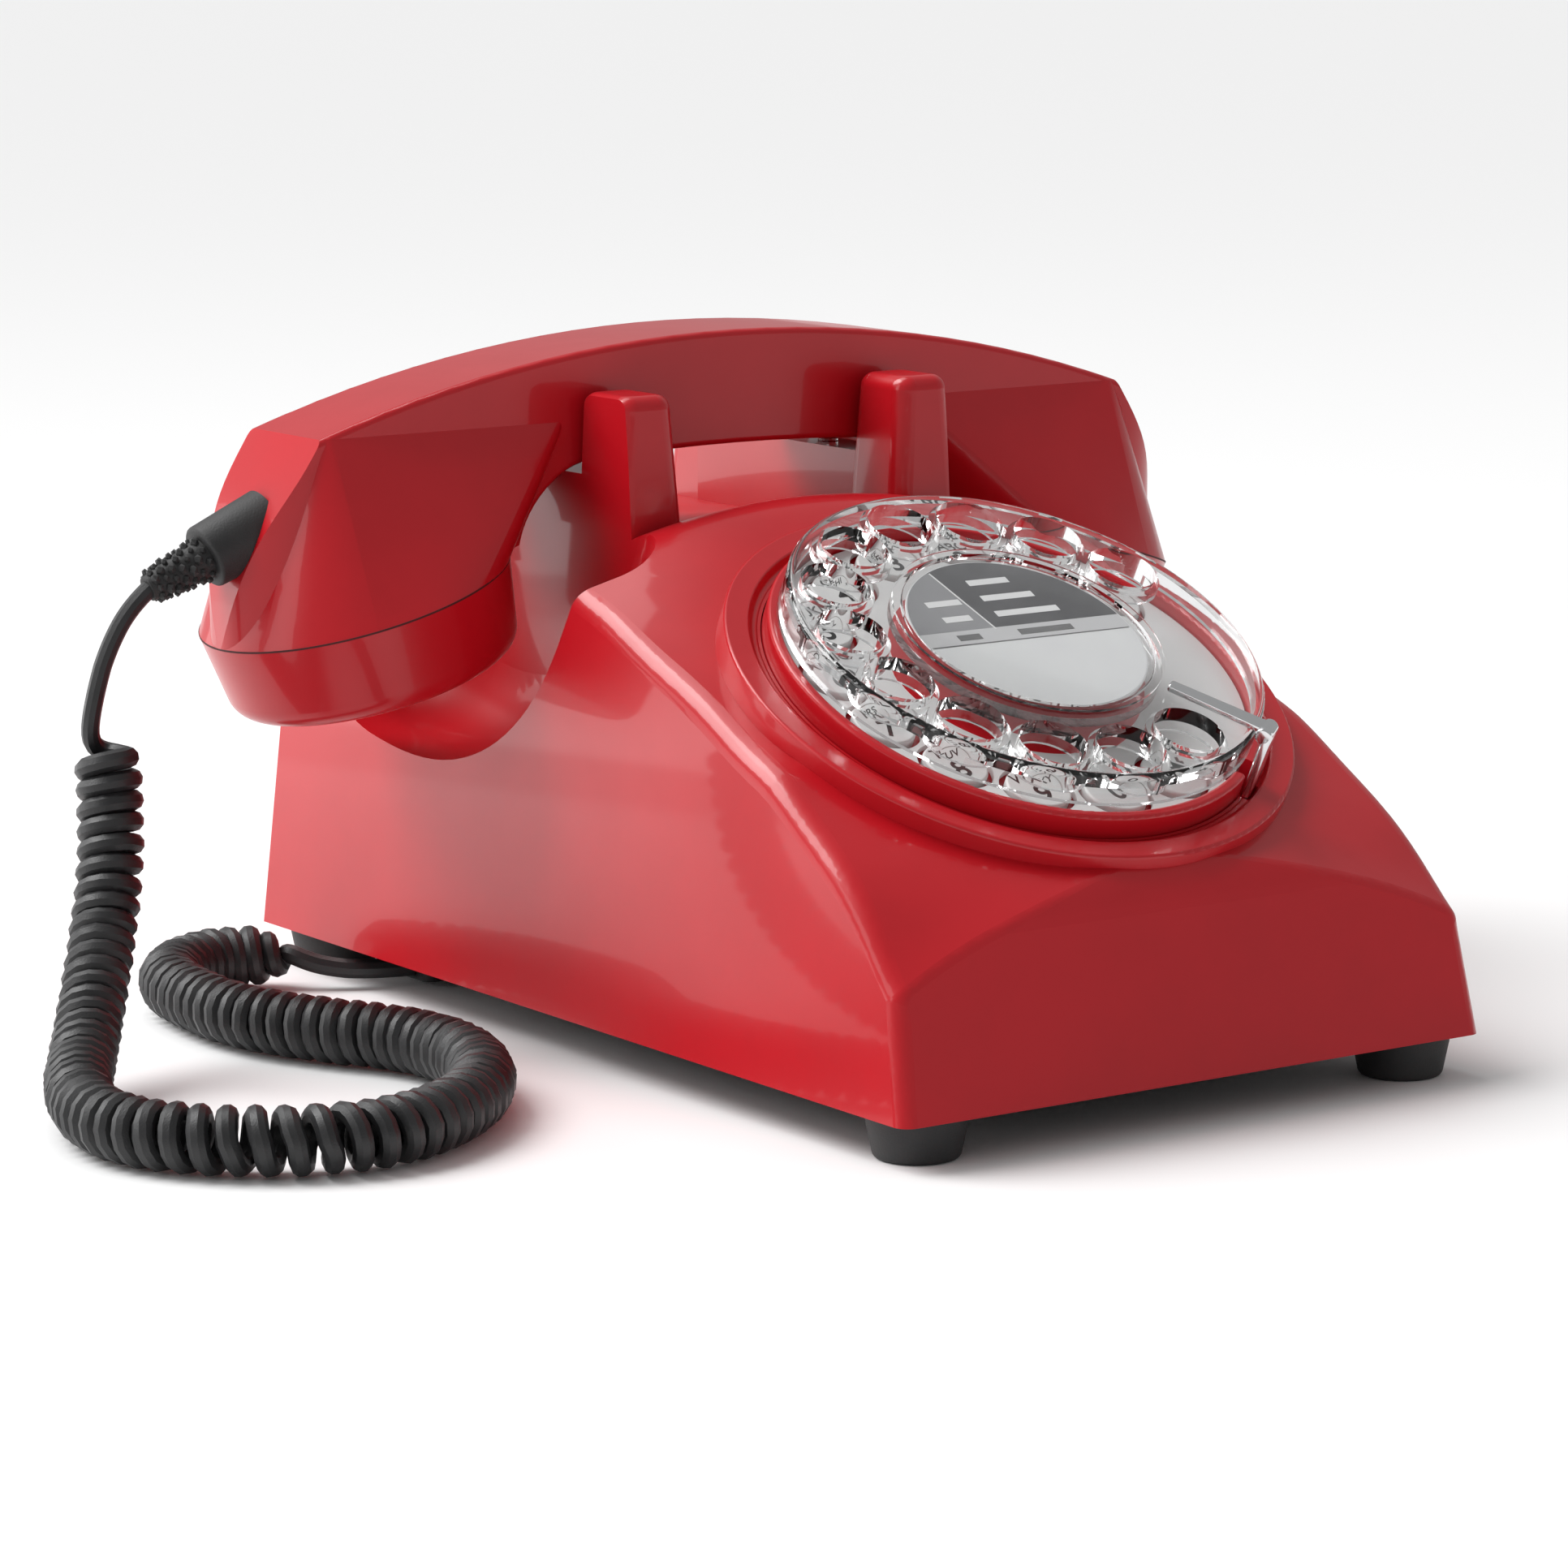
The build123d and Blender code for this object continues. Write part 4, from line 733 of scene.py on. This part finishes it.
    def label_field(self, name: str, finish: Finish, cuts: list[tuple[Vector, Vector]], level: float,
                    inner: float = 0.0) -> bpy.types.Object:
        """Make one printed area of the label: a disc cut down by straight lines.

        Args:
            name: The piece's name.
            finish: Its ink.
            cuts: Points and directions; what lies on the side of the direction is cut away.
            level: Height over the card.
            inner: How much smaller than the card it is.

        Returns:
            The printed area.
        """
        bm = bmesh.new()
        bmesh.ops.create_circle(bm, cap_ends=True, segments=96, radius=self.label_radius - inner)
        for point, direction in cuts:
            bmesh.ops.bisect_plane(bm, geom=[*bm.verts, *bm.edges, *bm.faces], plane_co=point, plane_no=direction,
                                   clear_outer=True)
        grown = bmesh.ops.extrude_face_region(bm, geom=list(bm.faces))
        raised = [item for item in grown["geom"] if isinstance(item, bmesh.types.BMVert)]
        bmesh.ops.translate(bm, vec=(0, 0, self.print_thickness / 2), verts=raised)
        bmesh.ops.recalc_face_normals(bm, faces=bm.faces)
        bmesh.ops.translate(bm, vec=(0, 0, self.card_top + level), verts=bm.verts)
        bmesh.ops.transform(bm, matrix=self.place(), verts=bm.verts)
        return self.shop.piece(name, bm, finish, Body.DIAL, "label_print", smooth=False)

    def add_bar(self, bm: bmesh.types.BMesh, centre: Vector, size: tuple[float, float], turn: float) -> None:
        """Add a thin printed bar.

        Args:
            bm: The mesh.
            centre: Its middle.
            size: Its length and width.
            turn: Its angle in radians.
        """
        made = bmesh.ops.create_cube(bm, size=1.0)["verts"]
        bmesh.ops.scale(bm, vec=(size[0], size[1], self.print_thickness), verts=made)
        bmesh.ops.transform(bm, matrix=Matrix.Translation(centre) @ Matrix.Rotation(turn, 4, "Z"), verts=made)

    def build_label(self) -> None:
        """Print the label: a dark upper part with a diagonal line, a strip and a pale lower part."""
        step = 0.03 * MM
        strip_top, strip_low = 2.6 * MM, -1.6 * MM
        upward, down = Vector((0, 1, 0)), Vector((0, -1, 0))
        lean = Vector((math.cos(math.radians(10)), math.sin(math.radians(10)), 0))
        divide = Vector((-5.4 * MM, 0, 0))
        self.label_field("label_pale_field", LABEL_PALE, [(Vector((0, strip_low, 0)), upward)], step)
        self.label_field("label_strip", LABEL_STRIP, [(Vector((0, strip_top, 0)), upward),
                                                      (Vector((0, strip_low, 0)), down)], step)
        self.label_field("label_dark_field", LABEL_DARK, [(Vector((0, strip_top, 0)), down), (divide, -lean)], step)
        self.label_field("label_mid_field", LABEL_MID, [(Vector((0, strip_top, 0)), down), (divide, lean)], step)
        bm = bmesh.new()
        level = self.card_top + 2 * step + self.print_thickness / 2
        for row, length in enumerate((9.0, 11.5, 14.0)):
            row_y = (16.2 - 4.9 * row) * MM
            left = divide.x + 2.6 * MM
            self.add_bar(bm, Vector((left + length * MM / 2, row_y, level)), (length * MM, 1.7 * MM), 0.0)
        for row, length in enumerate((7.5, 6.0)):
            self.add_bar(bm, Vector((-11.6 * MM, (11.0 - 4.9 * row) * MM, level)), (length * MM, 1.7 * MM), 0.0)
        slope = math.atan2(lean.x, -lean.y)
        self.add_bar(bm, Vector((-7.2 * MM, 11.2 * MM, level)), (18.5 * MM, 0.35 * MM), slope)
        bmesh.ops.transform(bm, matrix=self.place(), verts=bm.verts)
        self.shop.piece("label_marks", bm, LABEL_WHITE, Body.DIAL, "label_print", smooth=False)
        bm = bmesh.new()
        self.add_bar(bm, Vector((4.5 * MM, 0.5 * MM, level)), (12.0 * MM, 1.6 * MM), 0.0)
        self.add_bar(bm, Vector((-12.5 * MM, 0.5 * MM, level)), (5.0 * MM, 1.6 * MM), 0.0)
        self.add_bar(bm, Vector((0, strip_low, level)), (44.0 * MM, 0.25 * MM), 0.0)
        bmesh.ops.transform(bm, matrix=self.place(), verts=bm.verts)
        self.shop.piece("label_grey_marks", bm, LABEL_GREY_INK, Body.DIAL, "label_print", smooth=False)

    def build_cover(self) -> bpy.types.Object:
        """Build the label's thin clear cover with a rounded rim.

        Returns:
            The cover.
        """
        bm = bmesh.new()
        thickness = 0.9 * MM
        made = bmesh.ops.create_cone(bm, cap_ends=True, segments=128, radius1=self.cover_radius,
                                     radius2=self.cover_radius, depth=thickness)
        rim = [edge for edge in bm.edges if all(vert.co.z > 0 for vert in edge.verts)]
        bmesh.ops.bevel(bm, geom=rim, offset=0.35 * MM, segments=3, affect="EDGES", profile=0.5, material=-1)
        bmesh.ops.translate(bm, vec=(0, 0, self.card_top + 0.3 * MM + thickness / 2), verts=bm.verts)
        bmesh.ops.transform(bm, matrix=self.place(), verts=bm.verts)
        LOG.info("cover starts from %d points", len(made["verts"]))
        return self.shop.piece("label_cover_disc", bm, CLEAR_PLASTIC, Body.DIAL, "clear_cover", ("label_cover",))

    def build_stop(self) -> bpy.types.Object:
        """Build the chromed finger stop with a tapered finger, a rolled end and a leg.

        Returns:
            The finger stop.
        """
        bm = bmesh.new()
        reach = self.wheel_radius() + 3.5 * MM
        start, low, high = 27.5 * MM, 0.7 * MM, 2.2 * MM
        finger = bmesh.ops.create_cube(bm, size=1.0)["verts"]
        bmesh.ops.scale(bm, vec=(reach - start, 3.6 * MM, high - low), verts=finger)
        bmesh.ops.translate(bm, vec=((reach + start) / 2, 0, (high + low) / 2), verts=finger)
        tip = [vert for vert in finger if vert.co.x < start + MM]
        bmesh.ops.scale(bm, vec=(1, 0.66, 1), verts=tip)
        edges = list({edge for vert in finger for edge in vert.link_edges})
        bmesh.ops.bevel(bm, geom=edges, offset=0.5 * MM, segments=4, affect="EDGES", profile=0.5, material=-1)
        roll = bmesh.ops.create_cone(bm, cap_ends=True, segments=32, radius1=1.55 * MM, radius2=1.55 * MM,
                                     depth=5.0 * MM)["verts"]
        ends = [edge for edge in {edge for vert in roll for edge in vert.link_edges}
                if abs(edge.verts[0].co.z - edge.verts[1].co.z) < 0.1 * MM]
        rounded = bmesh.ops.bevel(bm, geom=ends, offset=0.35 * MM, segments=3, affect="EDGES", profile=0.5,
                                  material=-1)
        roll = list({*[vert for vert in roll if vert.is_valid], *rounded["verts"]})
        lie = Matrix.Translation((reach - 1.6 * MM, 0, high - 1.4 * MM)) @ Matrix.Rotation(math.pi / 2, 4, "X")
        bmesh.ops.transform(bm, matrix=lie, verts=roll)
        leg = bmesh.ops.create_cube(bm, size=1.0)["verts"]
        bmesh.ops.scale(bm, vec=(1.6 * MM, 5.0 * MM, 14.4 * MM), verts=leg)
        bmesh.ops.translate(bm, vec=(reach - 0.85 * MM, 0, 1.2 * MM - 7.2 * MM), verts=leg)
        edges = list({edge for vert in leg for edge in vert.link_edges})
        bmesh.ops.bevel(bm, geom=edges, offset=0.35 * MM, segments=3, affect="EDGES", profile=0.5, material=-1)
        turn = Matrix.Rotation(math.radians(self.stop_angle), 4, "Z")
        bmesh.ops.transform(bm, matrix=self.place() @ turn, verts=bm.verts)
        return self.shop.piece("finger_stop_hook", bm, CHROME, Body.ROOT, "bright_chrome", ("finger_stop",))

    def build(self) -> None:
        """Build the whole dial."""
        self.shop.dress(RED_SHELL, "bezel_ring", "dial_cup")
        self.shop.dress(CLEAR_PLASTIC, "finger_wheel")
        self.shop.dress(GREY_DISC, "number_discs")
        self.shop.dress(PALE_PLATE, "number_plate")
        self.shop.dress(LABEL_PALE, "label_card")
        self.build_red_floor()
        self.build_digits()
        self.build_label()
        self.build_cover()
        self.build_stop()


# ---------------------------------------------------------------- shells
@dataclass
class Handset:
    """The handset: hollow body, two caps and the rings of painted shade at the seams between them."""

    shop: Workshop
    cup_centre: Vector = field(default_factory=lambda: Vector((0.0785, 0.0480, 0.0828)))
    cup_tilt: float = math.radians(16.0)
    cup_radius: float = 30.2 * MM
    seam_width: float = 0.35 * MM

    def build_seam(self, side: int, name: str) -> bpy.types.Object:
        """Build the dark ring of painted shade where a cap meets the body.

        Args:
            side: -1 for the left cup, 1 for the right.
            name: The piece's name.

        Returns:
            The ring of painted shade.
        """
        bm = bmesh.new()
        bmesh.ops.create_circle(bm, segments=96, radius=self.cup_radius + 0.02 * MM)
        grown = bmesh.ops.extrude_edge_only(bm, edges=bm.edges)
        raised = [item for item in grown["geom"] if isinstance(item, bmesh.types.BMVert)]
        bmesh.ops.translate(bm, vec=(0, 0, self.seam_width), verts=raised)
        bmesh.ops.recalc_face_normals(bm, faces=bm.faces)
        bmesh.ops.solidify(bm, geom=list(bm.faces), thickness=0.3 * MM)
        centre = Vector((side * self.cup_centre.x, self.cup_centre.y, self.cup_centre.z))
        turn = Matrix.Rotation(side * self.cup_tilt, 4, "Y")
        lower = Matrix.Translation((0, 0, -self.seam_width / 2))
        bmesh.ops.transform(bm, matrix=Matrix.Translation(centre) @ turn @ lower, verts=bm.verts)
        # The ring is painted shade standing in for the shadow in the seam's gap.
        return self.shop.piece(name, bm, SEAM_PAINTED_SHADE, Body.HANDSET, "red_shell")

    def build(self) -> None:
        """Build the handset's shells and the rings of painted shade at its seams."""
        self.shop.dress(RED_SHELL, "handset_body", "mouth_cap", "ear_cap")
        self.build_seam(-1, "mouth_seam_shade")
        self.build_seam(1, "ear_seam_shade")
        self.shop.dress(PART_GREY, "transmitter", "receiver")


@dataclass
class CaseShell:
    """The case, its base, feet and fasteners."""

    shop: Workshop

    def build(self) -> None:
        """Dress the case and what closes it."""
        self.shop.dress(RED_SHELL, "case")
        self.shop.dress(BLACK_PLASTIC, "base_plate", "line_socket")
        self.shop.dress(BLACK_RUBBER, "foot_front_left", "foot_front_right", "foot_rear_left", "foot_rear_right",
                        "cord_gland")
        self.shop.dress(ZINC, "base_screws")


@dataclass
class Workings:
    """What the case and dial hold inside."""

    shop: Workshop

    def build(self) -> None:
        """Dress the mechanism, the bell and the circuit."""
        self.shop.dress(ZINC, "dial_spindle", "dial_frame", "ringer_frame", "striker", "switch_bracket", "ballast")
        self.shop.dress(BRASS, "main_gear", "pulse_pinion", "governor", "contact_springs", "gong_left", "gong_right")
        self.shop.dress(BLACK_PLASTIC, "contact_stack", "hook_switch", "board_posts", "terminal_block")
        self.shop.dress(CLEAR_PLASTIC, "hook_bar")
        self.shop.dress(COIL_TAPE, "ringer_coils")
        self.shop.dress(BOARD, "circuit_board")
        self.shop.dress(PART_GREY, "components")


# ---------------------------------------------------------------- studio
@dataclass
class Studio:
    """Pale floor, soft lights and the camera."""

    camera_place: Vector = field(default_factory=lambda: Vector((-0.5948, -0.8425, 0.2269)))
    azimuth: float = math.radians(-34.6)
    elevation: float = math.radians(10.0)
    roll: float = math.radians(-0.2)
    sensor: float = 36.0
    lens: float = 126.4
    floor_reach: float = 25.0

    def build_camera(self) -> None:
        """Set up the camera."""
        back = Vector((math.sin(self.azimuth) * math.cos(self.elevation),
                       -math.cos(self.azimuth) * math.cos(self.elevation), math.sin(self.elevation)))
        right = (-back).cross(Vector((0, 0, 1))).normalized()
        up = right.cross(-back)
        turned_right = math.cos(self.roll) * right + math.sin(self.roll) * up
        turned_up = -math.sin(self.roll) * right + math.cos(self.roll) * up
        data = bpy.data.cameras.new("camera")
        data.sensor_width, data.lens = self.sensor, self.lens
        data.clip_start, data.clip_end = 0.05, 20.0
        camera = bpy.data.objects.new("camera", data)
        place = Matrix((turned_right, turned_up, back)).transposed().to_4x4()
        place.translation = self.camera_place
        camera.matrix_world = place
        bpy.context.scene.collection.objects.link(camera)
        bpy.context.scene.camera = camera

    def add_light(self, name: str, place: Vector, size: tuple[float, float], power: float) -> None:
        """Add a soft rectangular light that looks at the object.

        Args:
            name: The light's name.
            place: Where it stands.
            size: Its width and height.
            power: Its power in watts.
        """
        data = bpy.data.lights.new(name, "AREA")
        data.shape = "RECTANGLE"
        data.size, data.size_y = size
        data.energy = power
        lamp = bpy.data.objects.new(name, data)
        aim = Vector((0, 0, 0.05)) - place
        turn = aim.to_track_quat("-Z", "Y").to_matrix().to_4x4()
        lamp.matrix_world = Matrix.Translation(place) @ turn
        bpy.context.scene.collection.objects.link(lamp)

    def add_sun(self, towards: Vector, strength: float) -> None:
        """Add a broad, even light from far away.

        Args:
            towards: The direction that the light comes from.
            strength: Its strength.
        """
        data = bpy.data.lights.new("broad_light", "SUN")
        data.energy = strength
        data.angle = math.radians(38)
        lamp = bpy.data.objects.new("broad_light", data)
        lamp.matrix_world = (-towards).to_track_quat("-Z", "Y").to_matrix().to_4x4()
        bpy.context.scene.collection.objects.link(lamp)

    def build_floor(self) -> None:
        """Lay the pale floor."""
        bm = bmesh.new()
        bmesh.ops.create_grid(bm, x_segments=1, y_segments=1, size=self.floor_reach)
        mesh = bpy.data.meshes.new("floor")
        bm.to_mesh(mesh)
        bm.free()
        paint = bpy.data.materials.new("floor_paint")
        paint.use_nodes = True
        shader = paint.node_tree.nodes["Principled BSDF"]
        shader.inputs["Base Color"].default_value = (0.9, 0.9, 0.9, 1.0)
        shader.inputs["Roughness"].default_value = 0.6
        mesh.materials.append(paint)
        floor = bpy.data.objects.new("floor", mesh)
        bpy.context.scene.collection.objects.link(floor)

    def build(self) -> None:
        """Build the studio."""
        scene = bpy.context.scene
        scene.view_settings.view_transform = "Standard"
        world = bpy.data.worlds.new("studio")
        scene.world = world
        world.use_nodes = True
        world.node_tree.nodes["Background"].inputs["Color"].default_value = (1.0, 1.0, 1.0, 1.0)
        world.node_tree.nodes["Background"].inputs["Strength"].default_value = 0.38
        self.add_sun(Vector((-0.60, 0.72, 1.15)), 2.7)
        self.add_light("left_softbox", Vector((-1.5, 0.25, 0.75)), (0.5, 1.0), 3.5)
        self.add_light("top_softbox", Vector((-0.1, 0.5, 1.3)), (0.9, 0.5), 4.0)
        self.add_light("low_card", Vector((-0.36, 0.42, 0.14)), (0.5, 0.26), 0.7)
        self.build_floor()
        self.build_camera()


def main() -> None:
    """Build every piece in order."""
    logging.basicConfig(level=logging.INFO, format="%(name)s %(message)s")
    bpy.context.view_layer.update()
    shop = Workshop()
    Studio().build()
    CordBoot(shop).build()
    CurlyCord(shop).build()
    CaseShell(shop).build()
    Handset(shop).build()
    Dial(shop).build()
    Workings(shop).build()


if __name__ == "__main__":
    main()
